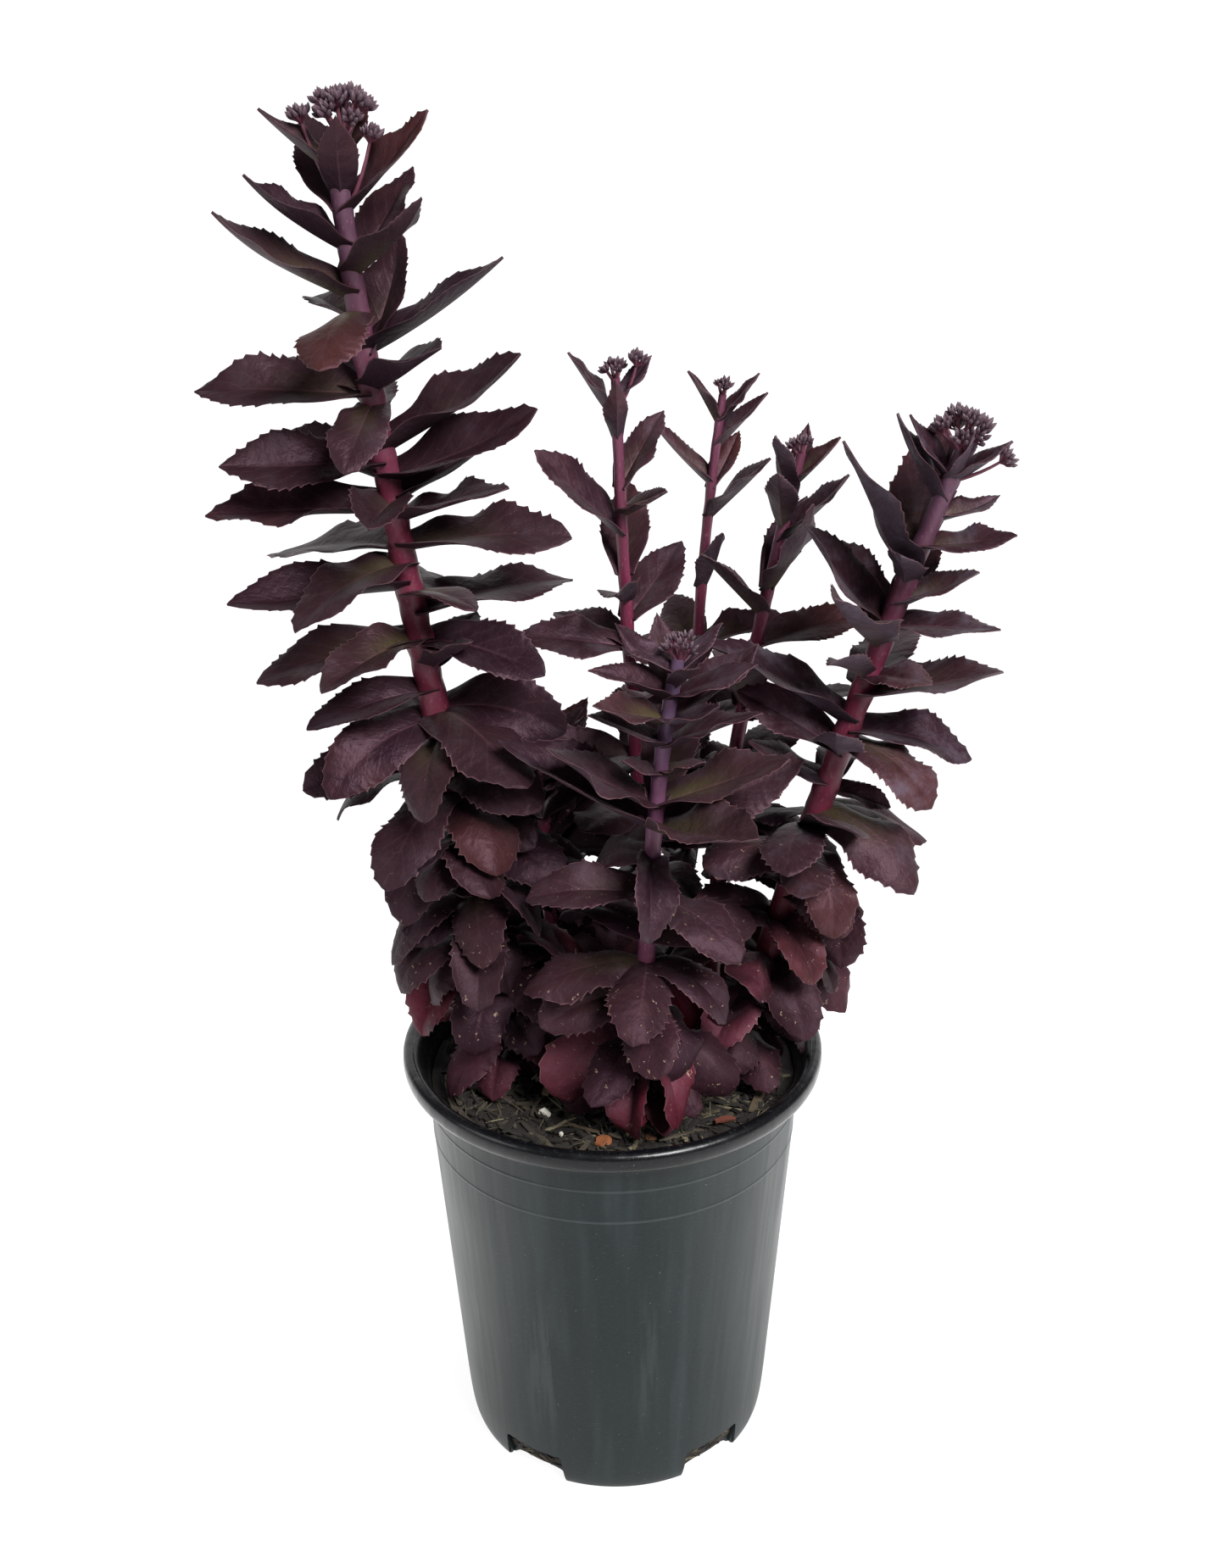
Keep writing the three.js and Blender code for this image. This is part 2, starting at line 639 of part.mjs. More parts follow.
function growLeaves() {
  const draw = drawFrom(GROWTH_SEED);
  const placed = [];
  SHOOTS.forEach((shoot, k) => {
    const curve = curves[k];
    const tipHeight = shoot.route[3][2];
    for (const [height, open, length, bend, directions] of shoot.whorls) {
      const along = alongAt(curve, height);
      const bract = THREE.MathUtils.clamp(1 - (tipHeight - height) / BRACT_ZONE, 0, 1);
      const droop = THREE.MathUtils.clamp(bend / AGED_BEND, 0, 1);
      const byAge = ([young, old]) => THREE.MathUtils.lerp(young, old, droop);
      const ratio = THREE.MathUtils.lerp(byAge(LEAF_RATIO), BRACT_RATIO, bract);
      for (const direction of directions) {
        const vary = Array.from({ length: 7 }, draw);
        const grown = {
          direction: direction + byAge(VARY.direction) * vary[0],
          open: open + byAge(VARY.open) * vary[1],
          length: length * (1 + byAge(VARY.length) * vary[2]),
          bend: bend + byAge(VARY.bend) * vary[3],
          sweep: byAge(VARY.sweep) * vary[4],
          roll: byAge(VARY.roll) * vary[5],
          cup: byAge(CUP) - byAge(VARY.cup) * vary[6],
          ratio: ratio * (1 + byAge(VARY.width) * vary[6]),
        };
        let best = null;
        search: for (const scale of LENGTH_TRIES) {
          for (const [turn, lift] of TURNS_AND_LIFTS) {
            const leaf = {
              k,
              height,
              root: curve.getPoint(along),
              tangent: curve.getTangent(along),
              radius: girthAt(shoot, along),
              azimuth: radians(grown.direction + turn),
              open: radians(Math.max(LEAST_OPENING, grown.open - lift)),
              bend: radians(grown.bend - 1.4 * lift),
              length: grown.length * scale,
              sweep: radians(grown.sweep),
              roll: radians(grown.roll - TURN_TO_LIGHT * Math.cos(radians(grown.direction + turn))),
              cup: radians(grown.cup),
              broadest: byAge(BROADEST),
              taper: THREE.MathUtils.lerp(byAge(TAPER), BRACT_TAPER, bract),
            };
            leaf.width = leaf.length * grown.ratio;
            const clasp = THREE.MathUtils.lerp(...NECK_TO_STEM, bract);
            leaf.neck = Math.min(NECK_MOST, (2 * clasp * leaf.radius) / leaf.width);
            leaf.rib = midrib(leaf);
            leaf.samples = samplesOf(leaf);
            leaf.middle = leaf.samples.reduce((sum, p) => sum.add(p), new THREE.Vector3())
              .divideScalar(leaf.samples.length);
            leaf.extent = Math.max(...leaf.samples.map((p) => p.distanceTo(leaf.middle)));
            const room = roomRound(leaf, k, placed);
            if (!best || room.all > best.room.all) best = { leaf, room };
            if (room.all >= 0) break search;
          }
        }
        if (best.room.others >= 0) placed.push(best.leaf);
      }
    }
  });
  return placed;
}

// A blade: a lens in section, thickest at the midrib, its two faces split alike, with a toothed edge. It
// tapers to a point sunk in the flesh of the stem.
function leafSolid(leaf) {
  const points = [];
  const faces = [];
  const add = (point) => points.push(point) - 1;
  const root = add(leaf.root.clone().addScaledVector(leaf.rib[0].way, ROOT_OUT * leaf.radius));
  const tip = add(onBlade(leaf, 1, 0));
  const edges = [1, -1].map((side) => TOOTHED_EDGE.map(
    ([t, tooth]) => add(onBlade(leaf, t, side * (halfWidth(t, leaf) + tooth))),
  ));
  for (const face of [1, -1]) {
    const [low, high] = RIB_PLACES.map(
      (t) => add(onBlade(leaf, t, 0, (face * LEAF_THICKNESS * (1 - TIP_THINNING * t)) / 2)),
    );
    edges.forEach((edge, side) => {
      const fan = [
        [root, edge[0], low],
        [low, edge[0], edge[1]],
        [low, edge[1], high],
        [high, edge[1], edge[2]],
        [high, edge[2], edge[3]],
        [high, edge[3], tip],
      ];
      fan.forEach(([a, b, c]) => faces.push((side === 0) === (face === 1) ? [a, b, c] : [a, c, b]));
    });
  }
  return polygonSolid(points, faces);
}

// A bud: a four-sided point whose foot is sunk in what it grows from
function budSolid(at, way, radius) {
  const out = new THREE.Vector3(0, 1, 0).cross(way).normalize();
  const over = way.clone().cross(out);
  const foot = at.clone().addScaledVector(way, -1.3 * radius);
  const corners = [[1, 0], [0, 1], [-1, 0], [0, -1]].map(
    ([a, b]) => foot.clone().addScaledVector(out, a * radius).addScaledVector(over, b * radius),
  );
  const tip = at.clone().addScaledVector(way, 1.5 * radius);
  return polygonSolid([...corners, tip], [[0, 1, 4], [1, 2, 4], [2, 3, 4], [3, 0, 4], [0, 2, 1], [0, 3, 2]]);
}

// A spray: a thin side twig that ends in a knot of buds
function spraySolids(shoot, curve, [height, open, length, direction]) {
  const along = alongAt(curve, height);
  const twig = {
    root: curve.getPoint(along),
    tangent: curve.getTangent(along),
    azimuth: radians(direction),
    open: radians(open),
    bend: radians(TWIG_BEND),
    sweep: 0,
    length,
  };
  const rib = midrib(twig);
  const tip = rib[RIB_STEPS];
  const twigPath = new THREE.LineCurve3(rib[0].at, tip.at);
  const outline = new THREE.Shape(TWIG_SECTION.map(([x, y]) => new THREE.Vector2(x, y)));
  const stalk = new THREE.ExtrudeGeometry(outline, { steps: 1, extrudePath: twigPath });
  const knot = new THREE.OctahedronGeometry(KNOT_RADIUS);
  knot.translate(tip.at.x, tip.at.y, tip.at.z);
  return [toSolid(stalk), toSolid(knot)];
}

// A head of buds: a low dome set just above the stem's tip, with buds standing out of it in a spiral
function headSolid(shoot, curve) {
  const { radius, buds } = shoot.head;
  const tip = curve.getPoint(1);
  const lean = Math.sqrt(1 - curve.getTangent(1).z ** 2);
  const foot = tip.z + girthAt(shoot, 1) * lean + HEAD_GAP;
  const stalk = 0.5 * radius;
  const profile = [
    [0, 0], [0.28, 0], [0.3, 0.3], [0.8, 0.5], [0.78, 0.64], [0.42, 0.92], [0, 1],
  ];
  const dome = turned(profile.map(([r, z]) => new THREE.Vector2(r * radius, z * radius)), DOME_SIDES);
  dome.translate(tip.x, tip.y, foot);
  const solids = [toSolid(dome)];
  for (let i = 0; i < buds; i += 1) {
    const polar = Math.acos(1 - ((i + 0.5) / buds) * HEAD_SPREAD);
    const around = i * GOLDEN_ANGLE;
    const way = new THREE.Vector3(
      Math.sin(polar) * Math.cos(around), Math.sin(polar) * Math.sin(around), Math.cos(polar),
    );
    const at = new THREE.Vector3(tip.x, tip.y, foot + stalk)
      .add(way.clone().multiply(new THREE.Vector3(0.8 * radius, 0.8 * radius, 0.5 * radius)));
    solids.push(budSolid(at, way.clone().add(new THREE.Vector3(0, 0, 0.7)).normalize(), 0.19 * radius + 0.2));
  }
  return joined(solids);
}

const leaves = growLeaves();
const group = new THREE.Group();

function place(name, solid, material) {
  const mesh = new THREE.Mesh(toGeometry(solid), material);
  mesh.name = name;
  group.add(mesh);
}

place('pot', makePot(), finish.pot);
place('potting_mix', makeSoil(), finish.soil);
SHOOTS.forEach((shoot, k) => {
  const solids = [stemSolid(shoot, curves[k], 0, null)];
  leaves.filter((leaf) => leaf.k === k).forEach((leaf) => solids.push(leafSolid(leaf)));
  shoot.sprays.forEach((spray) => solids.push(...spraySolids(shoot, curves[k], spray)));
  place(`shoot_${shoot.name}`, joined(solids), finish.shoot);
  if (shoot.head) place(`buds_${shoot.name}`, headSolid(shoot, curves[k]), finish.buds);
});

export default group;
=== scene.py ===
import math

import bpy
import numpy as np
from mathutils import Matrix, Vector, noise


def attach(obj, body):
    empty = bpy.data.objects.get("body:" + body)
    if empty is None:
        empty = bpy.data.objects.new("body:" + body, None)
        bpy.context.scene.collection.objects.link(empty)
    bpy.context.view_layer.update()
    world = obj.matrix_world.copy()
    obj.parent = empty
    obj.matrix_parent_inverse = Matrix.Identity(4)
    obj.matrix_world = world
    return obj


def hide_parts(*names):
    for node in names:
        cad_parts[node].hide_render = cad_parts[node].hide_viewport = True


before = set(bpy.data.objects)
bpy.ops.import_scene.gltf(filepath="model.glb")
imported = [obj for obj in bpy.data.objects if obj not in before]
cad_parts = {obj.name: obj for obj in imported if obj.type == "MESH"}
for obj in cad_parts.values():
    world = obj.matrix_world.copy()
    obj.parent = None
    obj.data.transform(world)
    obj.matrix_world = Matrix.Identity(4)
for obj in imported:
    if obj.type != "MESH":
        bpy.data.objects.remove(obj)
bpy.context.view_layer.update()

# The pot is one blow-moulded shell of black polyethylene: a rolled rim, two fine mould lines under it, its
# base just off the ground and five drain slots at its foot, each with a small rib at both ends.
MM = 0.001
RIM_RADIUS = 82.5
POT_HEIGHT = 175
NECK_RADIUS = 74
NECK_HEIGHT = 165
SHOULDER_RADIUS = 63
SHOULDER_HEIGHT = 14
FOOT_RADIUS = 60.6
WALL = 1.7
BASE_UNDERSIDE = 2.5
BASE_TOP = 4.3
POT_SIDES = 160
MOULD_LINES = [152.6, 138.2]
SLOT_COUNT = 5
SLOT_FIRST = math.radians(-51.4)
SLOT_HEIGHT = 13.6
SLOT_WIDTH = 26.4
SLOT_NEAR = 56.8
SLOT_CORNER = 1.8
SLOT_RIB = 1.4
# Pale upright patches of painted highlight, where soft vertical highlights fall on the wall: how far right,
# half width, its sharp part, height, half height, strength
HIGHLIGHT_PATCHES = [(-29, 9, 2, 62, 46, 1.0), (12, 7, 1, 66, 52, 0.7)]


def srgb(red, green, blue):
    """A colour as seen on a screen, from 0 to 255, as the linear colour that a shader takes."""
    seen = (red / 255, green / 255, blue / 255)
    return (*(c / 12.92 if c <= 0.04045 else ((c + 0.055) / 1.055) ** 2.4 for c in seen), 1.0)


class Value:
    """One output of a finish's nodes, with the sums that this file writes on it."""

    def __init__(self, finish, socket):
        self.finish = finish
        self.socket = socket

    def __add__(self, other):
        return self.finish.node("Math", {"operation": "ADD"}, {0: self, 1: other})

    def __sub__(self, other):
        return self.finish.node("Math", {"operation": "SUBTRACT"}, {0: self, 1: other})

    def __rsub__(self, other):
        return self.finish.node("Math", {"operation": "SUBTRACT"}, {0: other, 1: self})

    def __mul__(self, other):
        return self.finish.node("Math", {"operation": "MULTIPLY"}, {0: self, 1: other})

    def __abs__(self):
        return self.finish.node("Math", {"operation": "ABSOLUTE"}, {0: self})

    def sine(self):
        return self.finish.node("Math", {"operation": "SINE"}, {0: self})

    __radd__ = __add__
    __rmul__ = __mul__


class Finish:
    """A material. node() makes any node from its type, its settings and its inputs, in that order."""

    def __init__(self, name):
        self.material = bpy.data.materials.new(name)
        self.material.use_nodes = True
        self.tree = self.material.node_tree
        self.tree.nodes.clear()
        local = self.node("TexCoord", output="Object")
        self.place = self.node("VectorMath", {"operation": "SCALE"}, {"Vector": local, "Scale": 1 / MM})

    def node(self, kind, settings=None, inputs=None, output=0):
        made = self.tree.nodes.new("ShaderNode" + kind)
        for name, value in (settings or {}).items():
            setattr(made, name, value)
        for name, value in (inputs or {}).items():
            if isinstance(value, Value):
                self.tree.links.new(value.socket, made.inputs[name])
            else:
                made.inputs[name].default_value = value
        return Value(self, made.outputs[output]) if len(made.outputs) else None

    def reading(self, name, output="Fac"):
        return self.node("Attribute", {"attribute_name": name}, output=output)

    def axis(self, letter):
        """How far along X, Y or Z a place is, in millimetres."""
        return self.node("SeparateXYZ", {}, {0: self.place}, output=letter)

    def stretched(self, x, y, z):
        return self.node("VectorMath", {"operation": "MULTIPLY"}, {0: self.place, 1: (x, y, z)})

    def mottle(self, size, at=None, detail=3.0, roughness=0.55):
        """Noise from 0 to 1 whose blotches are size millimetres across."""
        inputs = {"Vector": at or self.place, "Scale": 1 / size, "Detail": detail, "Roughness": roughness}
        return self.node("TexNoise", {}, inputs)

    def between(self, value, low, high):
        """0 below low, 1 above high, smooth between; the other way round where low is the greater."""
        settings = {"interpolation_type": "SMOOTHSTEP"}
        if low > high:
            return 1 - self.node("MapRange", settings, {"Value": value, "From Min": high, "From Max": low})
        return self.node("MapRange", settings, {"Value": value, "From Min": low, "From Max": high})

    def mix(self, share, first, second):
        return self.node("Mix", {"data_type": "RGBA"}, {0: share, 6: first, 7: second}, output=2)

    def bump(self, height, depth, under=None):
        """Relief of that depth in millimetres, over another relief if one is given."""
        inputs = {"Height": height, "Distance": depth * MM, "Strength": 1.0}
        if under:
            inputs["Normal"] = under
        return self.node("Bump", {}, inputs)

    def close(self, colour, roughness, normal, **uniform):
        inputs = {"Base Color": colour, "Roughness": roughness, "Normal": normal}
        inputs.update({name.replace("_", " "): value for name, value in uniform.items()})
        shader = self.node("BsdfPrincipled", {}, inputs)
        self.node("OutputMaterial", {}, {"Surface": shader})
        return self.material


def softened(corners, steps=6):
    """An outline whose corners (across, up, radius) are rounded off."""
    points = []
    last = len(corners) - 1
    for i, (x, y, radius) in enumerate(corners):
        here = Vector((x, y))
        if i in (0, last) or radius == 0:
            points.append(here)
            continue
        ways = [Vector(corners[j][:2]) - here for j in (i - 1, i + 1)]
        cuts = [here + way.normalized() * min(radius, 0.48 * way.length) for way in ways]
        for s in np.linspace(0, 1, steps):
            points.append(cuts[0] * (1 - s) ** 2 + here * (2 * s * (1 - s)) + cuts[1] * s ** 2)
    return [(p.x, p.y) for p in points]


def ring_faces(rings, sides, first=0):
    """Faces between rings of points that follow each other, from the point of that number on."""
    faces = []
    for a in range(first, first + (rings - 1) * sides, sides):
        for j in range(sides):
            k = (j + 1) % sides
            faces.append((a + j, a + k, a + sides + k, a + sides + j))
    return faces


def rod_faces(rings, sides):
    """Faces between rings of points, with one that closes each end."""
    ends = [tuple(range(sides - 1, -1, -1)), tuple(range((rings - 1) * sides, rings * sides))]
    return ring_faces(rings, sides) + ends


def turned(outline, sides):
    """Points and faces of an outline (radius, height) that starts and ends on the axis, turned about it."""
    rings = len(outline) - 2
    points = [(0, 0, outline[0][1]), (0, 0, outline[-1][1])]
    for r, z in outline[1:-1]:
        for j in range(sides):
            angle = 2 * math.pi * j / sides
            points.append((r * math.cos(angle), r * math.sin(angle), z))
    faces = ring_faces(rings, sides, 2)
    last = 2 + (rings - 1) * sides
    for j in range(sides):
        k = (j + 1) % sides
        faces += [(0, 2 + k, 2 + j), (1, last + j, last + k)]
    return points, faces


def solid(name, points, faces, material, readings=None, crease=math.radians(40)):
    """A piece from points in millimetres, with the values or colours that its finish reads at each point."""
    mesh = bpy.data.meshes.new(name)
    mesh.from_pydata(np.asarray(points, float) * MM, [], faces)
    for reading, values in (readings or {}).items():
        values = np.asarray(values, np.float32)
        kind, field = ("FLOAT", "value") if values.ndim == 1 else ("FLOAT_COLOR", "color")
        mesh.attributes.new(reading, kind, "POINT").data.foreach_set(field, values.ravel())
    mesh.materials.append(material)
    mesh.shade_smooth()
    mesh.set_sharp_from_angle(angle=crease)
    mesh.update()
    piece = bpy.data.objects.new(name, mesh)
    bpy.context.scene.collection.objects.link(piece)
    return piece


def wall_radius(z):
    share = (z - SHOULDER_HEIGHT) / (NECK_HEIGHT - SHOULDER_HEIGHT)
    if share < 0:
        return FOOT_RADIUS + z / SHOULDER_HEIGHT * (SHOULDER_RADIUS - FOOT_RADIUS)
    return SHOULDER_RADIUS + share * (NECK_RADIUS - SHOULDER_RADIUS)


def slot_turn(i):
    return SLOT_FIRST + 2 * math.pi * i / SLOT_COUNT


def pot_outline():
    outside = [
        (0, BASE_UNDERSIDE, 0), (FOOT_RADIUS - 2.9, BASE_UNDERSIDE, 0.6), (FOOT_RADIUS - 2.3, 0, 0.7),
        (FOOT_RADIUS, 0, 0.9), (FOOT_RADIUS + 1.3, 4, 4), (SHOULDER_RADIUS, SHOULDER_HEIGHT, 9),
    ]
    for z in reversed(MOULD_LINES):
        foot = wall_radius(z)
        outside += [(foot - 0.04, z - 0.6, 0.3), (foot + 0.2, z, 0.3), (foot - 0.04, z + 0.6, 0.3)]
    rim = [
        (wall_radius(NECK_HEIGHT - 4) + 0.1, NECK_HEIGHT - 4, 1),
        (NECK_RADIUS + 0.9, NECK_HEIGHT - 0.6, 1.4),
        (RIM_RADIUS - 4.6, NECK_HEIGHT + 0.3, 2.2), (RIM_RADIUS - 2.0, NECK_HEIGHT + 1.0, 1.2),
        (RIM_RADIUS, NECK_HEIGHT + 3.2, 2.2), (RIM_RADIUS - 0.1, POT_HEIGHT - 1.6, 2.6),
        (RIM_RADIUS - 3.4, POT_HEIGHT, 2.4), (RIM_RADIUS - 6.2, POT_HEIGHT - 2.4, 2.4),
        (NECK_RADIUS - 0.8, NECK_HEIGHT + 2, 3),
    ]
    inside = [
        (wall_radius(NECK_HEIGHT - 3) - WALL, NECK_HEIGHT - 3, 3),
        (wall_radius(SHOULDER_HEIGHT) - WALL, SHOULDER_HEIGHT, 5),
        (wall_radius(BASE_TOP) - WALL - 0.3, BASE_TOP, 1), (0, BASE_TOP, 0),
    ]
    return softened(outside + rim + inside)


def slot_cutter(turn):
    """A block with two rounded upper corners, long enough to pass through the wall at the foot."""
    half = SLOT_WIDTH / 2
    corners = [
        (-half - 1, -3, 0), (-half - 1, 0, 0), (-half, SLOT_HEIGHT, SLOT_CORNER),
        (half, SLOT_HEIGHT, SLOT_CORNER), (half + 1, 0, 0), (half + 1, -3, 0),
    ]
    section = softened(corners)
    near, far = SLOT_NEAR, FOOT_RADIUS + 10
    points = [(r, x, z) for r in (near, far) for x, z in section]
    count = len(section)
    faces = [tuple(range(count)), tuple(range(2 * count - 1, count - 1, -1))]
    for i in range(count):
        k = (i + 1) % count
        faces.append((k, i, count + i, count + k))
    cutter = solid("slot_cutter", points, faces, pot_finish)
    cutter.data.transform(Matrix.Rotation(turn, 4, "Z"))
    return cutter


def slot_ribs():
    """The small upright ribs that stiffen both ends of each slot, inside the wall."""
    points = []
    faces = []
    for i in range(SLOT_COUNT):
        turn = Matrix.Rotation(slot_turn(i), 3, "Z")
        for side in (-1, 1):
            first = len(points)
            near, far = FOOT_RADIUS - 5.2, FOOT_RADIUS - 2.0
            for r, z in ((near, 0.5), (far, 0.5), (far + 1.6, 13), (near, 13)):
                for x in (SLOT_WIDTH / 2 + 0.2, SLOT_WIDTH / 2 + 0.2 + SLOT_RIB):
                    points.append(tuple(turn @ Vector((r, side * x, z))))
            loop = [(0, 2, 4, 6), (1, 7, 5, 3), (0, 1, 3, 2), (2, 3, 5, 4), (4, 5, 7, 6), (6, 7, 1, 0)]
            for face in loop:
                corners = [first + v for v in face]
                faces.append(tuple(corners if side < 0 else reversed(corners)))
    return points, faces


def pot_material():
    f = Finish("black polyethylene")
    streak = f.mottle(11, f.stretched(1, 1, 0.06), detail=2)
    cloud = f.mottle(34, detail=2)
    fine = f.mottle(0.8, detail=2)
    dust = f.between(f.mottle(0.9, detail=1), 0.775, 0.81)
    scuff = f.between(f.mottle(1.8, f.stretched(1, 1, 6), detail=4), 0.56, 0.68)
    height = f.axis("Z")
    step = f.between(height, 161.5, 163.5) * f.between(height, 166.5, 164.5)
    line = sum(f.between(abs(height - z), 0.7, 0.3) for z in MOULD_LINES)
    # Painted highlight: pale upright patches where soft vertical highlights fall on the wall
    painted_highlight = 0
    for right, wide, sharp, up, tall, strength in HIGHLIGHT_PATCHES:
        patch = f.between(abs(f.axis("X") - right), wide, sharp) * f.between(abs(height - up), tall, 10)
        painted_highlight = painted_highlight + patch * strength
    painted_highlight = painted_highlight * f.between(f.mottle(3.5, f.stretched(1, 1, 0.05), detail=3), 0.4, 0.65)
    lip = f.between(height, 165, 168)
    body = f.mix(cloud, srgb(13, 23, 23), srgb(20, 31, 31))
    body = f.mix(f.between(streak, 0.5, 0.72) * 0.45, body, srgb(46, 56, 58))
    body = f.mix(painted_highlight * 0.22, body, srgb(84, 88, 90))
    body = f.mix(line * 0.16, body, srgb(104, 110, 112))
    body = f.mix(lip, body, srgb(9, 10, 13))
    body = f.mix(scuff * (step * 0.85 + 0.05), body, srgb(126, 130, 136))
    body = f.mix(dust * 0.5, body, srgb(140, 145, 142))
    roughness = 0.33 + 0.1 * cloud + 0.14 * f.between(streak, 0.45, 0.8) + 0.2 * dust - 0.1 * lip
    relief = f.bump(fine, 0.03, f.bump(streak, 0.5))
    return f.close(body, roughness, relief, IOR=1.36, Coat_Weight=lip * 0.15, Coat_Roughness=0.2)


pot_finish = pot_material()
pot = solid("pot_shell", *turned(pot_outline(), POT_SIDES), pot_finish)
for i in range(SLOT_COUNT):
    cutter = slot_cutter(slot_turn(i))
    cut = pot.modifiers.new("slot", "BOOLEAN")
    cut.operation = "DIFFERENCE"
    cut.solver = "EXACT"
    cut.object = cutter
    trimmed = bpy.data.meshes.new_from_object(pot.evaluated_get(bpy.context.evaluated_depsgraph_get()))
    pot.modifiers.clear()
    pot.data = trimmed
    bpy.data.objects.remove(cutter)
pot.data.shade_smooth()
pot.data.set_sharp_from_angle(angle=math.radians(35))
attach(pot, "root")
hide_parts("pot")
ribs = solid("pot_slot_ribs", *slot_ribs(), pot_finish)
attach(ribs, "root")

# The potting mix fills the pot to 15 mm under its rim: dark composted bark with splinters, shreds and a few
# white crumbs of perlite, poured in loose and settled by watering.
SOIL_LEVEL = 160
SOIL_BOTTOM = 4.7
SOIL_ROUND = 144
SOIL_RINGS = 44
SHRED_COUNT = 640
SPLINTER_COUNT = 700
SHREDS_A_SLOT = 44
CRUMB_COUNT = 260
PERLITE_COUNT = 12
BARK_COLOURS = [
    srgb(36, 32, 27), srgb(54, 47, 38), srgb(78, 69, 54), srgb(26, 24, 21), srgb(112, 102, 78),
    srgb(146, 136, 108),
]
BARK_SHARES = [0.26, 0.22, 0.18, 0.16, 0.11, 0.07]
# Pieces that stand out: place, length, width, yaw in degrees, and colour
NOTED_SHREDS = [
    ((-4, -55), 7, 4.6, 60, srgb(168, 98, 52)),
    ((42, -44), 8, 3.4, 15, srgb(124, 62, 44)),
    ((-23, -17), 17, 4.4, 68, srgb(128, 112, 78)),
    ((-50, -20), 27, 4.0, -32, srgb(86, 74, 66)),
    ((14, -52), 4, 3.0, 0, srgb(132, 84, 52)),
    ((55, -26), 22, 3.4, 74, srgb(104, 88, 66)),
    ((-12, -44), 15, 1.6, -24, srgb(98, 82, 62)),
]
NOTED_PERLITE = [(-30, -11, 2.1), (-26, -36, 2.4), (-57, -6, 1.6)]

soil_draw = np.random.default_rng(8)


def soil_height(x, y):
    """The level of the mix at a place: low mounds with a crumbly surface."""
    mounds = 0.9 * math.sin(x * 0.31 + 1.1) * math.cos(y * 0.27 - 0.4)
    crumbs = noise.fractal(Vector((x * 0.22, y * 0.22, 3.7)), 0.8, 2.1, 4)
    return SOIL_LEVEL + mounds + 1.1 * crumbs


def soil_ground():
    inner = wall_radius(SOIL_LEVEL) - WALL - 0.25
    outline = [(0, SOIL_BOTTOM), (wall_radius(SOIL_BOTTOM) - WALL - 0.8, SOIL_BOTTOM)]
    outline += [(wall_radius(z) - WALL - 0.6, z) for z in (SHOULDER_HEIGHT, 60, 110, 150)]
    outline += [(inner * s, SOIL_LEVEL) for s in np.linspace(1, 0, SOIL_RINGS)]
    points, faces = turned(outline, SOIL_ROUND)
    raised = []
    for x, y, z in points:
        on_top = z > SOIL_LEVEL - 1
        raised.append((x, y, soil_height(x, y) if on_top else z))
    return raised, faces


def shred(at, length, width, thick, yaw, tip, draw, sides=4, steps=6):
    """A torn strip of bark: narrow at both ends, bent, twisted and uneven in width."""
    points = []
    bend = draw.uniform(-0.08, 0.08) * length
    twist = draw.uniform(-0.7, 0.7)
    turn = Matrix.Rotation(yaw, 3, "Z") @ Matrix.Rotation(tip, 3, "Y")
    for i in range(steps):
        s = i / (steps - 1)
        fat = (0.35 + 0.65 * math.sin(math.pi * min(max(s, 0.06), 0.94)) ** 0.6) * draw.uniform(0.75, 1.1)
        for j in range(sides):
            angle = 2 * math.pi * (j + 0.5) / sides + twist * s
            out = Vector((
                (s - 0.5) * length,
                bend * math.sin(math.pi * s) + 0.7 * width * fat * math.cos(angle),
                0.7 * thick * fat * math.sin(angle) + 0.3 * bend * s,
            ))
            points.append(tuple(turn @ out + Vector(at)))
    return points, rod_faces(steps, sides)


def crumb(at, size, draw):
    """A small lump with flats, from an octahedron whose corners and edges are moved about."""
    corners = [Vector(c) for c in ((1, 0, 0), (0, 1, 0), (-1, 0, 0), (0, -1, 0), (0, 0, 1), (0, 0, -1))]
    edges = [(0, 1), (1, 2), (2, 3), (3, 0), (0, 4), (1, 4), (2, 4), (3, 4), (0, 5), (1, 5), (2, 5), (3, 5)]
    ring = corners + [(corners[a] + corners[b]).normalized() for a, b in edges]
    points = [tuple(Vector(at) + p * size * draw.uniform(0.72, 1.15)) for p in ring]
    middle = {frozenset(edge): 6 + i for i, edge in enumerate(edges)}
    faces = []
    for a, b in ((0, 1), (1, 2), (2, 3), (3, 0)):
        for top in (4, 5):
            corner = (a, b, top) if top == 4 else (b, a, top)
            p, q, r = corner
            pq, qr, rp = (middle[frozenset(pair)] for pair in ((p, q), (q, r), (r, p)))
            faces += [(p, pq, rp), (pq, q, qr), (rp, qr, r), (pq, qr, rp)]
    return points, faces


def gathered(parts):
    """Many small parts as one mesh. A part brings a list of readings, or one colour for all of it."""
    points, faces, readings = [], [], []
    for part_points, part_faces, reading in parts:
        faces += [tuple(len(points) + v for v in face) for face in part_faces]
        points += list(part_points)
        readings += reading if isinstance(reading, list) else [reading] * len(part_points)
    return points, faces, readings


def spot_on_soil(draw):
    angle = draw.uniform(0, 2 * math.pi)
    far = math.sqrt(draw.uniform(0, 1)) * (wall_radius(SOIL_LEVEL) - WALL - 4.5)
    return far * math.cos(angle), far * math.sin(angle)


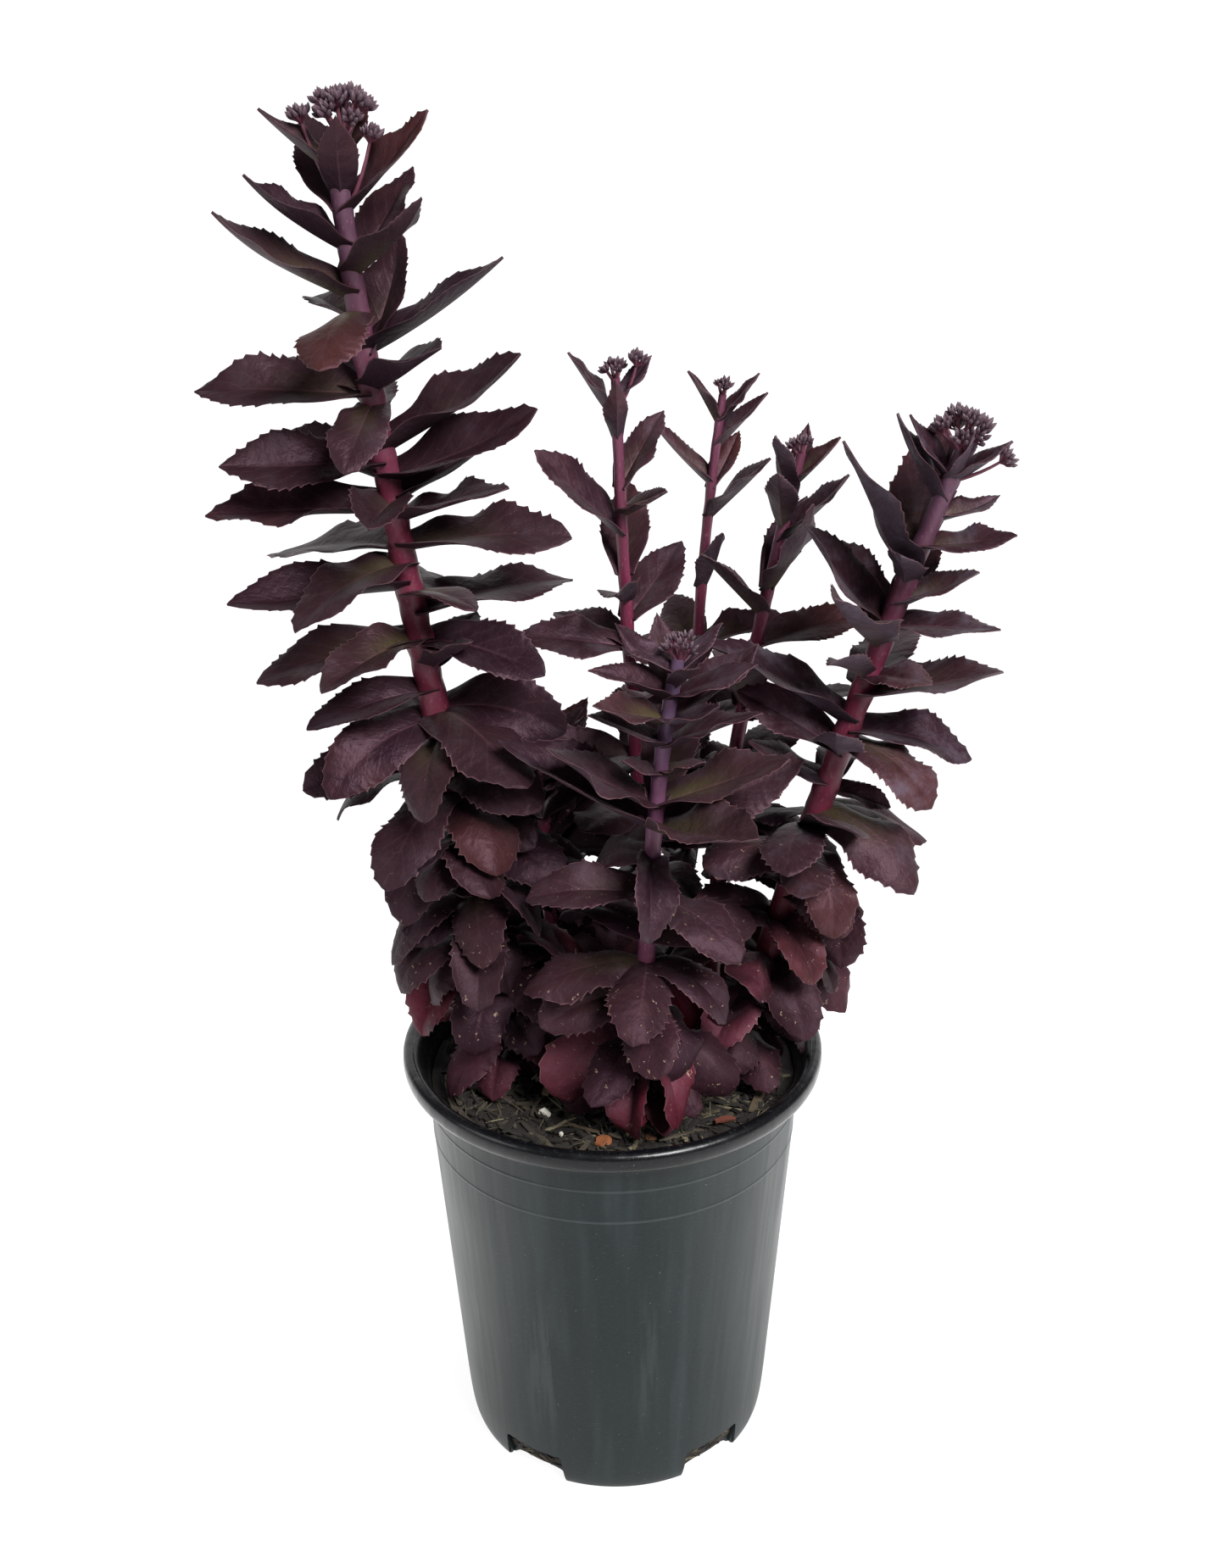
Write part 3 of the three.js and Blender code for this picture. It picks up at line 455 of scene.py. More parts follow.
def bark_parts(draw):
    parts = []
    for i in range(SHRED_COUNT + SPLINTER_COUNT):
        x, y = spot_on_soil(draw)
        colour = BARK_COLOURS[draw.choice(len(BARK_COLOURS), p=BARK_SHARES)]
        room = 2 * (wall_radius(SOIL_LEVEL) - WALL - 1 - math.hypot(x, y))
        if i < SHRED_COUNT:
            length, width, thick = draw.uniform(5, 15), draw.uniform(1.0, 2.6), draw.uniform(0.5, 1.1)
        else:
            length, width, thick = draw.uniform(5, 17), draw.uniform(0.3, 0.7), draw.uniform(0.3, 0.5)
        yaw = draw.uniform(0, 2 * math.pi)
        if length > room:
            yaw = math.atan2(y, x) + math.pi / 2
        at = (x, y, soil_height(x, y) + draw.uniform(0.1, 1.5))
        parts.append((*shred(at, length, width, thick, yaw, draw.normal(0, 0.13), draw), colour))
    for (x, y), length, width, yaw, colour in NOTED_SHREDS:
        at = (x, y, soil_height(x, y) + 2.0)
        parts.append((*shred(at, length, width, 1.3, math.radians(yaw), 0.04, draw), colour))
    for _ in range(CRUMB_COUNT):
        x, y = spot_on_soil(draw)
        colour = BARK_COLOURS[draw.choice(4)]
        parts.append((*crumb((x, y, soil_height(x, y) + 0.4), draw.uniform(0.7, 1.9), draw), colour))
    for slot in range(SLOT_COUNT):
        for _ in range(SHREDS_A_SLOT):
            angle = slot_turn(slot) + draw.uniform(-0.19, 0.19)
            z = draw.uniform(5.6, 12.9)
            r = wall_radius(z) - WALL - 0.7
            at = (r * math.cos(angle), r * math.sin(angle), z)
            colour = BARK_COLOURS[draw.choice(len(BARK_COLOURS), p=BARK_SHARES)]
            strip = shred(at, draw.uniform(2, 6), 0.8, 0.6, angle + math.pi / 2, draw.normal(0, 0.3), draw)
            parts.append((*strip, colour))
    return parts


def perlite_parts(draw):
    spots = list(NOTED_PERLITE)
    while len(spots) < PERLITE_COUNT:
        spots.append((*spot_on_soil(draw), draw.uniform(0.7, 1.5)))
    white = srgb(214, 210, 200)
    return [(*crumb((x, y, soil_height(x, y) + 1.2), size, draw), white) for x, y, size in spots]


def bark_material():
    f = Finish("composted bark")
    grain = f.mottle(0.7, detail=4)
    damp = f.mottle(7)
    bark = f.mix(0.35 + 0.5 * grain, srgb(20, 16, 14), f.reading("bark", "Color"))
    bark = f.mix(f.between(damp, 0.5, 0.7) * 0.45, bark, srgb(16, 13, 12))
    return f.close(bark, 0.62 + 0.3 * grain, f.bump(grain, 0.35))


def perlite_material():
    f = Finish("perlite")
    pores = f.mottle(0.45, detail=2)
    white = f.mix(pores, srgb(236, 232, 222), srgb(176, 170, 158))
    return f.close(white, 0.75 + 0.2 * pores, f.bump(pores, 0.3))


bark_finish = bark_material()
ground_points, ground_faces = soil_ground()
ground = solid(
    "potting_mix_ground", ground_points, ground_faces, bark_finish,
    {"bark": [srgb(36, 29, 25)] * len(ground_points)},
)
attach(ground, "root")
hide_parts("potting_mix")

points, faces, colours = gathered(bark_parts(soil_draw))
shreds = solid("potting_mix_bark", points, faces, bark_finish, {"bark": colours}, crease=math.radians(30))
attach(shreds, "root")

points, faces, colours = gathered(perlite_parts(soil_draw))
perlite = solid("potting_mix_perlite", points, faces, perlite_material(), crease=math.radians(25))
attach(perlite, "root")

# The shoots are seven stout succulent stems. A route is a cubic curve, a girth the radius at foot and tip, a
# whorl the height of a row of leaves, how far they open from the stem, their length, how far they bend down
# (up, below zero) and the direction of each. A spray is a side twig: height, opening, length and direction.
STEM_FOOT = 146
SHOOTS = [
    {
        "name": "tall",
        "route": [[-34, -2, STEM_FOOT], [-52, -5, 262], [-76, -8, 372], [-84, -14, 511]],
        "girth": [5.6, 2.8],
        "head": 10.5,
        "sprays": [[490, 30, 27, 178], [486, 38, 25, 352]],
        "whorls": [
            [500, 50, 30, -12, [186, 62]], [492, 42, 30, -14, [284]], [487, 56, 40, -12, [4, 118]],
            [476, 60, 42, -10, [196]], [468, 60, 43, -10, [322, 60]], [461, 64, 50, -14, [186]],
            [456, 88, 42, 50, [240]], [453, 78, 40, 4, [130]], [443, 66, 58, -14, [2]],
            [441, 62, 44, -10, [50]], [431, 68, 46, -8, [318]], [429, 80, 57, 0, [188, 120]],
            [426, 86, 36, 48, [276]], [422, 84, 38, 14, [90]], [410, 68, 60, -10, [4]],
            [406, 84, 52, 6, [186]], [400, 76, 60, -6, [344, 130]], [392, 78, 50, 6, [40, 262]],
            [389, 82, 62, 8, [186]], [386, 78, 44, 4, [316]], [376, 86, 62, 12, [356, 140]],
            [370, 80, 50, 30, [226]], [362, 80, 60, 10, [186]], [359, 80, 36, 40, [304, 90]],
            [352, 86, 58, 18, [4]], [342, 84, 58, 20, [186]], [341, 82, 50, 40, [222, 326]],
            [331, 70, 32, 20, [312, 50]], [322, 78, 48, 34, [216]], [315, 84, 52, 58, [2, 334]],
            [311, 76, 48, 46, [200, 120]], [305, 70, 44, 90, [272]], [300, 74, 50, 60, [206, 60]],
            [290, 72, 50, 66, [320]], [282, 72, 52, 72, [2, 150, 236, 290]],
            [262, 68, 46, 88, [212, 250, 295, 340]], [243, 64, 46, 98, [228, 272, 316, 20]],
            [223, 62, 44, 104, [200, 240, 285, 330]], [204, 58, 46, 106, [215, 262, 305, 30]],
            [184, 58, 41, 108, [180, 232, 280, 320]], [171, 60, 34, 100, [255, 300]],
        ],
    },
    {
        "name": "front",
        "route": [[10, -30, STEM_FOOT], [13, -33, 220], [13, -37, 290], [24, -42, 346]],
        "girth": [3.3, 2.2],
        "head": 6.5,
        "sprays": [],
        "whorls": [
            [340, 64, 26, -6, [172, 50]], [336, 50, 22, -8, [282]], [331, 54, 33, -8, [196, 340, 110]],
            [322, 58, 40, -8, [300, 30, 222]], [313, 60, 38, -6, [350, 206]],
            [302, 62, 20, -4, [335, 220]], [290, 66, 50, -6, [352, 192, 80]],
            [281, 66, 61, 2, [178, 25, 300]], [269, 84, 38, 66, [266, 130]],
            [254, 78, 48, 34, [332, 204]], [238, 76, 44, 52, [24, 150]],
            [226, 74, 45, 50, [198, 340, 276]], [210, 70, 43, 76, [262, 318, 100, 205]],
            [195, 66, 42, 94, [240, 285, 330, 190]], [180, 62, 38, 100, [208, 255, 300, 340]],
            [170, 60, 32, 96, [232, 280, 325]],
        ],
    },
    {
        "name": "right",
        "route": [[46, 2, STEM_FOOT], [64, -4, 240], [92, -12, 330], [120, -14, 409]],
        "girth": [5.0, 2.6],
        "head": 10,
        "sprays": [[398, 56, 19, 335]],
        "whorls": [
            [399, 58, 26, -8, [180]], [401, 58, 24, -6, [70]], [398, 46, 26, -6, [330]],
            [397, 50, 24, -10, [276]], [391, 50, 34, -10, [190]], [385, 66, 26, -4, [14]],
            [375, 58, 35, 2, [336]], [364, 46, 60, -12, [202, 90]], [362, 58, 36, 10, [246]],
            [354, 44, 31, 0, [330, 60]], [346, 62, 41, 2, [338, 130]], [343, 56, 52, -4, [170]],
            [339, 66, 60, -6, [232]], [327, 62, 32, 10, [306, 226]], [323, 66, 48, 4, [70]],
            [320, 60, 51, 0, [340]], [309, 76, 64, 12, [206]], [306, 78, 54, 30, [8]],
            [303, 78, 47, 52, [322]], [297, 62, 44, 10, [184, 262]], [286, 74, 34, 20, [196, 80]],
            [282, 74, 29, 28, [356]], [275, 70, 49, 54, [326, 20]], [268, 72, 43, 58, [230, 284]],
            [257, 72, 42, 68, [304, 250, 200]], [242, 66, 37, 84, [285, 335, 165]],
            [226, 62, 38, 92, [262, 312, 5, 222]], [209, 60, 39, 100, [338, 290, 242, 190]],
            [192, 58, 36, 102, [312, 265, 222, 5]], [176, 60, 36, 98, [282, 330, 236]],
        ],
    },
    {
        "name": "back_left",
        "route": [[14, 30, STEM_FOOT], [15, 38, 240], [6, 40, 330], [4, 42, 424]],
        "girth": [3.0, 1.7],
        "head": 4.5,
        "sprays": [[412, 36, 18, 350]],
        "whorls": [
            [415, 42, 22, -6, [10]], [409, 34, 29, -6, [192]], [401, 28, 28, -4, [262]],
            [383, 40, 37, -8, [50]], [374, 62, 26, 0, [325]], [366, 48, 47, -10, [188]],
            [350, 46, 42, -4, [88]], [340, 64, 38, 10, [260]], [333, 78, 44, 8, [50]],
            [322, 74, 43, 10, [192, 296, 130]], [300, 66, 44, 20, [20, 280]],
            [276, 66, 44, 38, [175, 80, 340, 250]], [252, 64, 46, 56, [40, 120, 230, 290]],
            [228, 62, 46, 72, [160, 80, 240, 285]], [206, 60, 43, 86, [50, 120, 210]],
            [184, 58, 38, 92, [90, 160, 225, 300]],
        ],
    },
    {
        "name": "back_mid",
        "route": [[30, 46, STEM_FOOT], [31, 54, 230], [33, 58, 330], [44, 60, 414]],
        "girth": [2.7, 1.5],
        "head": 4,
        "sprays": [],
        "whorls": [
            [404, 34, 22, -4, [195, 350]], [395, 42, 29, -8, [5]], [381, 54, 33, -8, [192]],
            [378, 42, 28, -6, [50]], [368, 50, 38, -6, [312]], [340, 44, 36, -4, [270]],
            [314, 60, 35, 18, [110, 10]], [284, 62, 43, 42, [150, 40, 250, 310]],
            [254, 62, 36, 62, [90, 350]], [222, 60, 43, 80, [90]], [190, 58, 38, 90, [90]],
        ],
    },
    {
        "name": "back_right",
        "route": [[40, 24, STEM_FOOT], [40, 30, 250], [52, 34, 310], [71, 32, 398]],
        "girth": [3.2, 1.8],
        "head": 4.5,
        "sprays": [],
        "whorls": [
            [387, 40, 24, -4, [340, 80]], [381, 34, 28, -6, [222]], [370, 34, 38, -4, [246]],
            [365, 38, 38, -4, [352]], [346, 40, 42, 0, [326, 70]], [337, 54, 40, -6, [206]],
            [324, 60, 45, 16, [20]], [300, 60, 46, 30, [340, 100, 240]], [276, 60, 46, 50, [30, 280]],
            [252, 60, 46, 60, [80, 350]], [228, 60, 45, 76, [40, 110]], [204, 58, 41, 88, [75, 350]],
            [184, 58, 36, 92, [100, 45]],
        ],
    },
    {
        "name": "low",
        "route": [[-16, 26, STEM_FOOT], [-24, 34, 190], [-28, 42, 240], [-26, 48, 276]],
        "girth": [3.2, 2.0],
        "head": None,
        "sprays": [],
        "whorls": [
            [274, 24, 28, -6, [100]], [266, 44, 38, 4, [145, 325, 55, 235]],
            [250, 58, 42, 30, [190, 10, 100, 280, 235]], [232, 62, 46, 46, [150, 60, 250, 320]],
            [213, 60, 46, 68, [100, 190, 290]], [194, 58, 42, 88, [150, 70, 290]],
            [178, 58, 36, 92, [110, 290]], [258, 60, 44, 20, [330, 285]], [240, 60, 46, 36, [352, 22]],
            [222, 60, 46, 56, [325, 0]], [203, 58, 44, 80, [345, 30]],
        ],
    },
]
# Width to length of a young leaf, an old one and a bract, and what differs with age: young first, then old
LEAF_RATIO = (0.46, 0.49)
BRACT_RATIO = 0.4
BRACT_ZONE = 60
BROADEST = (0.46, 0.6)
TAPER = (0.8, 0.6)
BRACT_TAPER = 1.2
CUP = (34, -4)
CUP_LOST_AT_TIP = 0.55
RIB_STEPS = 20
STEEPEST_DROOP = math.radians(-86)
NECK_TO_STEM = (1.8, 1.3)
NECK_MOST = 0.62
TURN_TO_LIGHT = 24
# How far a young leaf and an old one may differ: in degrees, and in shares of their length and width
VARY = {
    "direction": (6, 16),
    "open": (5, 10),
    "bend": (8, 26),
    "sweep": (12, 26),
    "roll": (16, 32),
    "cup": (10, 34),
    "length": (0.06, 0.12),
    "width": (0.08, 0.12),
}
# Room that a leaf keeps to other shoots' leaves, to its own shoot's, to stems, and to the pot and the mix
CLEAR_OF_OTHERS = 5.2
CLEAR_OF_OWN = 2.2
CLEAR_OF_STEMS = 3.6
CLEAR_OF_RIM = 2.5
CLEAR_OF_SOIL = 3
OPEN_INNER_RADIUS = 71.5
# The first of a leaf's samples that counts as away from its stem
OUTER = 24
# Turns and lifts, in degrees, that a leaf tries in this order, at full length and then shorter
TURNS_AND_LIFTS = [
    (0, 0), (0, 10), (12, 0), (-12, 0), (14, 10), (-14, 10), (0, 20), (24, 4), (-24, 4), (26, 16), (-26, 16),
    (0, -12), (12, -12), (-12, -12), (38, 10), (-38, 10), (0, 32), (20, 30), (-20, 30),
]
LENGTH_TRIES = [1, 0.84, 0.7, 0.56]
GROWTH_SEED = 20731
# Leaves in the shade between the rows. Some shoots repeat two leaves of each row below a height, moved up
# and round and a little shorter; others have rows of their own. They may touch the leaves round them. Their
# finish turns them near black with painted shade.
SHADE_TOP = {"tall": 285, "right": 225, "low": 300}
SHADE_ROWS = {
    "back_left": [
        [262, 60, 36, 34, [292]], [246, 60, 38, 44, [262, 305]], [228, 60, 40, 56, [245, 285]],
    ],
    "back_mid": [
        [262, 60, 38, 30, [250, 292]], [246, 60, 40, 40, [268, 232]], [230, 60, 42, 50, [288, 250]],
    ],
    "back_right": [
        [268, 58, 34, 26, [290]], [256, 60, 38, 36, [330, 265]], [240, 60, 40, 50, [300, 350, 255]],
    ],
}
SHADE_RISE = 7
SHADE_LENGTH = 0.9
SHADE_TURN = 50
SHADE_TOUCH_OTHERS = 1.5
SHADE_TOUCH_OWN = 2.5
SHADE_SEED = 77
# What counts as the room of a leaf that runs into the pot or the mix
NO_ROOM = -50


def draw_from(seed):
    """A repeatable draw from -1 to 1."""
    state = seed

    def draw():
        nonlocal state
        state = state * 16807 % 2147483647
        return state / 2147483647 * 2 - 1

    return draw


def on_route(route, t):
    a, b, c, d = np.asarray(route, float)
    t = np.asarray(t, float)[..., None]
    return a * (1 - t) ** 3 + b * 3 * (1 - t) ** 2 * t + c * 3 * (1 - t) * t ** 2 + d * t ** 3


def way_of_route(route, t):
    a, b, c, d = np.asarray(route, float)
    t = np.asarray(t, float)[..., None]
    way = (b - a) * (1 - t) ** 2 + (c - b) * 2 * (1 - t) * t + (d - c) * t ** 2
    return way / np.linalg.norm(way, axis=-1, keepdims=True)


def along_at(route, height):
    low, high = 0.0, 1.0
    for _ in range(30):
        middle = (low + high) / 2
        if on_route(route, middle)[2] < height:
            low = middle
        else:
            high = middle
    return (low + high) / 2


def girth_at(shoot, t):
    foot, tip = shoot["girth"]
    return foot + (tip - foot) * np.asarray(t) ** 2


def by_age(young_and_old, droop):
    young, old = young_and_old
    return young + (old - young) * droop


def unit(vectors):
    return vectors / np.linalg.norm(vectors, axis=-1, keepdims=True)


class Leaf:
    """A leaf: its midrib leaves the stem at an angle and bends evenly, and its blade lies along it."""

    def __init__(
        self, root, tangent, radius, azimuth, opening, bend, length,
        sweep=0.0, roll=0.0, cup=0.0, width=1.0, droop=0.0, bract=0.0,
    ):
        self.length, self.roll, self.cup, self.width, self.bract = length, roll, cup, width, bract
        self.shaded = 0.0
        self.broadest = by_age(BROADEST, droop)
        self.taper = by_age((by_age(TAPER, droop), BRACT_TAPER), bract)
        self.neck = min(NECK_MOST, 2 * by_age(NECK_TO_STEM, bract) * radius / width)
        aim = np.array([math.cos(azimuth), math.sin(azimuth), 0.0])
        outward = unit(aim - tangent * aim.dot(tangent))
        start = tangent * math.cos(opening) + outward * math.sin(opening)
        t = np.arange(RIB_STEPS + 1) / RIB_STEPS
        pitch = np.maximum(math.asin(max(-1, min(1, start[2]))) - bend * t, STEEPEST_DROOP)
        self.heading = math.atan2(start[1], start[0]) + sweep * t
        flat = np.cos(pitch)
        self.way = np.stack([flat * np.cos(self.heading), flat * np.sin(self.heading), np.sin(pitch)], 1)
        steps = (self.way[1:] + self.way[:-1]) * length / RIB_STEPS / 2
        self.at = np.vstack([root, root + np.cumsum(steps, 0)])

    def half_width(self, t):
        """Half the width of the blade, from its neck at the stem to nothing at its tip."""
        t = np.clip(t, 0, 1)
        low = self.neck + (1 - self.neck) * np.sin(np.minimum(t / self.broadest, 1) * math.pi / 2) ** 1.2
        narrowing = np.clip((t - self.broadest) / (1 - self.broadest), 0, 1)
        high = np.maximum(np.cos(narrowing * math.pi / 2), 0) ** self.taper
        return np.where(t < self.broadest, low, np.where(t < 1, high, 0))

    def on_blade(self, t, u, lift=0.0):
        """Points of the blade, u across it from -1 to 1, raised by lift along its upper side."""
        t, u, lift = np.broadcast_arrays(np.asarray(t, float), u, lift)
        f = t * RIB_STEPS
        i = np.minimum(f.astype(int), RIB_STEPS - 1)
        share = (f - i)[..., None]
        way = unit(self.way[i] * (1 - share) + self.way[i + 1] * share)
        heading = self.heading[i] * (1 - share[..., 0]) + self.heading[i + 1] * share[..., 0]
        side = np.stack([np.sin(heading), -np.cos(heading), np.zeros_like(heading)], -1)
        upper = np.cross(side, way)
        roll = (self.roll * np.minimum(1, 0.4 + t))[..., None]
        across = side * np.cos(roll) + upper * np.sin(roll)
        above = upper * np.cos(roll) - side * np.sin(roll)
        w = self.width / 2 * u[..., None]
        rib = self.at[i] * (1 - share) + self.at[i + 1] * share
        cup = (self.cup * (1 - CUP_LOST_AT_TIP * t))[..., None]
        return rib + across * w * np.cos(cup) + above * (np.abs(w) * np.sin(cup) + lift[..., None])

    def spread(self):
        """The points of the blade that other leaves keep clear of, its tipward ones last."""
        t, u = np.meshgrid(np.arange(1, 13) / 12, [-1, -0.6, -0.2, 0.2, 0.6, 1], indexing="ij")
        self.samples = self.on_blade(t, u * self.half_width(t)).reshape(-1, 3)
        self.middle = self.samples.mean(0)
        self.extent = np.linalg.norm(self.samples - self.middle, axis=1).max()
        return self


def clears_pot(samples):
    inside = np.hypot(samples[:, 0], samples[:, 1]) < OPEN_INNER_RADIUS - CLEAR_OF_RIM
    inside &= samples[:, 2] > SOIL_LEVEL + CLEAR_OF_SOIL
    return (inside | (samples[:, 2] > POT_HEIGHT + CLEAR_OF_RIM)).all()


def nearest(first, second):
    return math.sqrt(((first[:, None] - second[None]) ** 2).sum(2).min())


def stem_posts():
    """Places on stems and heads that other shoots' leaves keep clear of: their owners, places and radii."""
    owners, places, radii = [], [], []
    for k, shoot in enumerate(SHOOTS):
        t = np.arange(51) / 50
        places += list(on_route(shoot["route"], t))
        radii += list(girth_at(shoot, t) + CLEAR_OF_STEMS)
        if shoot["head"]:
            places.append(np.array(shoot["route"][3], float) + (0, 0, 0.4 * shoot["head"]))
            radii.append(shoot["head"] + CLEAR_OF_STEMS)
        owners += [k] * (len(places) - len(owners))
    return np.array(owners), np.array(places), np.array(radii)


def room_round(leaf, k, placed, posts):
    """Room to other shoots, which a leaf has to keep, and to its own shoot's leaves, which it prefers."""
    if not clears_pot(leaf.samples):
        return NO_ROOM, NO_ROOM
    owners, places, radii = posts
    apart = np.linalg.norm(leaf.samples[:, None] - places[None], axis=2) - radii
    others = apart[:, owners != k].min()
    own = math.inf
    for other in placed:
        if np.linalg.norm(leaf.middle - other.middle) < leaf.extent + other.extent + CLEAR_OF_OTHERS:
            if other.shoot == k:
                own = min(own, nearest(leaf.samples[OUTER:], other.samples[OUTER:]) - CLEAR_OF_OWN)
            else:
                others = min(others, nearest(leaf.samples, other.samples) - CLEAR_OF_OTHERS)
    return others, min(others, own)


def best_leaf(shoot, k, whorl, direction, vary, placed, posts):
    """The first way that a leaf has room to grow, or the roomiest of all those it tries."""
    height, opening, length, bend, _ = whorl
    along = along_at(shoot["route"], height)
    bract = min(1, max(0, 1 - (shoot["route"][3][2] - height) / BRACT_ZONE))
    droop = min(1, max(0, bend / 70))
    ratio = by_age((by_age(LEAF_RATIO, droop), BRACT_RATIO), bract)
    differs = {name: by_age(pair, droop) for name, pair in VARY.items()}
    best = None
    for scale in LENGTH_TRIES:
        for turn, lift in TURNS_AND_LIFTS:
            grown = length * (1 + differs["length"] * vary[2]) * scale
            heading = direction + differs["direction"] * vary[0] + turn
            roll = differs["roll"] * vary[5] - TURN_TO_LIGHT * math.cos(math.radians(heading))
            leaf = Leaf(
                root=on_route(shoot["route"], along),
                tangent=way_of_route(shoot["route"], along),
                radius=float(girth_at(shoot, along)),
                azimuth=math.radians(heading),
                opening=math.radians(max(14, opening + differs["open"] * vary[1] - lift)),
                bend=math.radians(bend + differs["bend"] * vary[3] - 1.4 * lift),
                length=grown,
                sweep=math.radians(differs["sweep"] * vary[4]),
                roll=math.radians(roll),
                cup=math.radians(by_age(CUP, droop) - differs["cup"] * vary[6]),
                width=grown * ratio * (1 + differs["width"] * vary[6]),
                droop=droop,
                bract=bract,
            ).spread()
            leaf.shoot, leaf.height = k, height
            others, least = room_round(leaf, k, placed, posts)
            if best is None or least > best[0]:
                best = least, others, leaf
            if least >= 0:
                return best
    return best


def grow_leaves():
    draw = draw_from(GROWTH_SEED)
    posts = stem_posts()
    placed = []
    for k, shoot in enumerate(SHOOTS):
        for whorl in shoot["whorls"]:
            for direction in whorl[4]:
                vary = [draw() for _ in range(7)]
                _, others, leaf = best_leaf(shoot, k, whorl, direction, vary, placed, posts)
                if others >= 0:
                    placed.append(leaf)
    shade_draw = np.random.default_rng(SHADE_SEED)
    for k, shoot in enumerate(SHOOTS):
        rows = list(SHADE_ROWS.get(shoot["name"], []))
        for height, opening, length, bend, directions in shoot["whorls"]:
            if height < SHADE_TOP.get(shoot["name"], 0):
                turned_on = [direction + SHADE_TURN for direction in directions[:2]]
                rows.append([height + SHADE_RISE, opening, SHADE_LENGTH * length, bend, turned_on])
        for row in rows:
            for direction in row[4]:
                vary = shade_draw.uniform(-1, 1, 7)
                least, others, leaf = best_leaf(shoot, k, row, direction, vary, placed, posts)
                if others >= -SHADE_TOUCH_OTHERS and least >= -SHADE_TOUCH_OWN:
                    leaf.shaded = 1.0
                    placed.append(leaf)
    return placed


leaves = grow_leaves()

# A stem is round, fleshy and as smooth as wax, with a slight swelling and a fine ring of scar at each whorl.
# It is mauve with bloom near its tip, magenta in its middle and crimson-brown at its foot.
STEM_ROUND = 24
STEM_STEP = 1.6
SWELLING = 0.09
SWELLING_REACH = 3.4
SCAR = 0.03
SCAR_RISE = 5
SCAR_REACH = 1.2


def stem_tube(shoot):
    route = shoot["route"]
    span = np.linalg.norm(np.diff(on_route(route, np.linspace(0, 1, 60)), axis=0), axis=1).sum()
    t = np.linspace(0, 1, int(span / STEM_STEP))
    at, way = on_route(route, t), way_of_route(route, t)
    radius = girth_at(shoot, t)
    for height, *_ in shoot["whorls"]:
        far = at[:, 2] - height
        swelling = SWELLING * np.exp(-(far / SWELLING_REACH) ** 2)
        radius = radius * (1 + swelling - SCAR * np.exp(-((far - SCAR_RISE) / SCAR_REACH) ** 2))
    out = unit(np.cross([0.0, 1.0, 0.0], way))
    over = np.cross(way, out)
    angle = 2 * math.pi * np.arange(STEM_ROUND) / STEM_ROUND
    ribbed = radius[:, None] * (1 + 0.025 * np.sin(3 * angle[None] + 0.05 * at[:, 2:]))
    ring = out[:, None] * np.cos(angle)[None, :, None] + over[:, None] * np.sin(angle)[None, :, None]
    points = (at[:, None] + ring * ribbed[..., None]).reshape(-1, 3)
    rise = (at[:, 2] - SOIL_LEVEL) / (route[3][2] - SOIL_LEVEL)
    return points, rod_faces(len(t), STEM_ROUND), np.repeat(rise, STEM_ROUND)


def stem_material(name, foot, middle, tip):
    f = Finish(name)
    rise = f.reading("rise")
    cloud = f.mottle(5)
    fleck = f.between(f.mottle(0.9, f.stretched(1, 1, 0.35), detail=2), 0.6, 0.72)
    flesh = f.mix(f.between(rise + 0.16 * cloud, 0.1, 0.62), foot, middle)
    flesh = f.mix(f.between(rise + 0.1 * cloud, 0.66, 1.0), flesh, tip)
    flesh = f.mix(f.between(cloud, 0.45, 0.75) * 0.35, flesh, srgb(86, 40, 58))
    flesh = f.mix(fleck * 0.22, flesh, srgb(168, 116, 136))
    relief = f.bump(f.mottle(1.1, f.stretched(1, 1, 0.3)), 0.12)
    return f.close(flesh, 0.36 + 0.18 * cloud, relief, IOR=1.42)


stem_finishes = {
    "stout": stem_material("crimson stem", srgb(76, 20, 30), srgb(98, 32, 52), srgb(82, 54, 72)),
    "violet": stem_material("violet stem", srgb(122, 40, 62), srgb(106, 62, 88), srgb(92, 72, 98)),
    "slender": stem_material("magenta stem", srgb(84, 22, 38), srgb(104, 30, 58), srgb(96, 50, 70)),
}
STEM_KINDS = {"tall": "stout", "right": "stout", "front": "violet"}
for shoot in SHOOTS:
    points, faces, rise = stem_tube(shoot)
    kind = STEM_KINDS.get(shoot["name"], "slender")
    stem = solid(f"stem_{shoot['name']}", points, faces, stem_finishes[kind], {"rise": rise})
    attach(stem, "root")

# A leaf is a thick, stalkless succulent blade: furrowed along its midrib, with a keel beneath and teeth that
# point to the tip. It is brown-purple under a grey bloom, greener by the rib, darker and redder with age,
# a darkening that on the low leaves is partly painted shade. Painted shade also turns the bases of older
# leaves and the leaves between the rows near black, and a pale margin along the edges is partly painted
# sheen.
LEAF_THICKNESS = 1.9
YOUNG_ABOVE_SOIL = 150
OLD_ABOVE_SOIL = 20
LEAF_SEED = 100
# Where a shoot's leaves differ from the others: the strength of their grey bloom, set partly as painted
# light that lightens the right shoot and darkens the tall one, and painted shade that darkens them
BLOOM_AND_LIGHT = {"tall": 0.5, "front": 0.9, "right": 2.2}
SHOOT_PAINTED_SHADE = {"tall": 0.42, "low": 0.3, "right": 0.1}
TEETH = 8
TOOTH_PLACES = [0.0, 0.5, 0.86]
TOOTH_RISES = [-0.35, 0.2, 1.0]
BLADE_COLUMNS = np.array([-1, -0.93, -0.78, -0.56, -0.33, -0.12, 0, 0.12, 0.33, 0.56, 0.78, 0.93, 1])


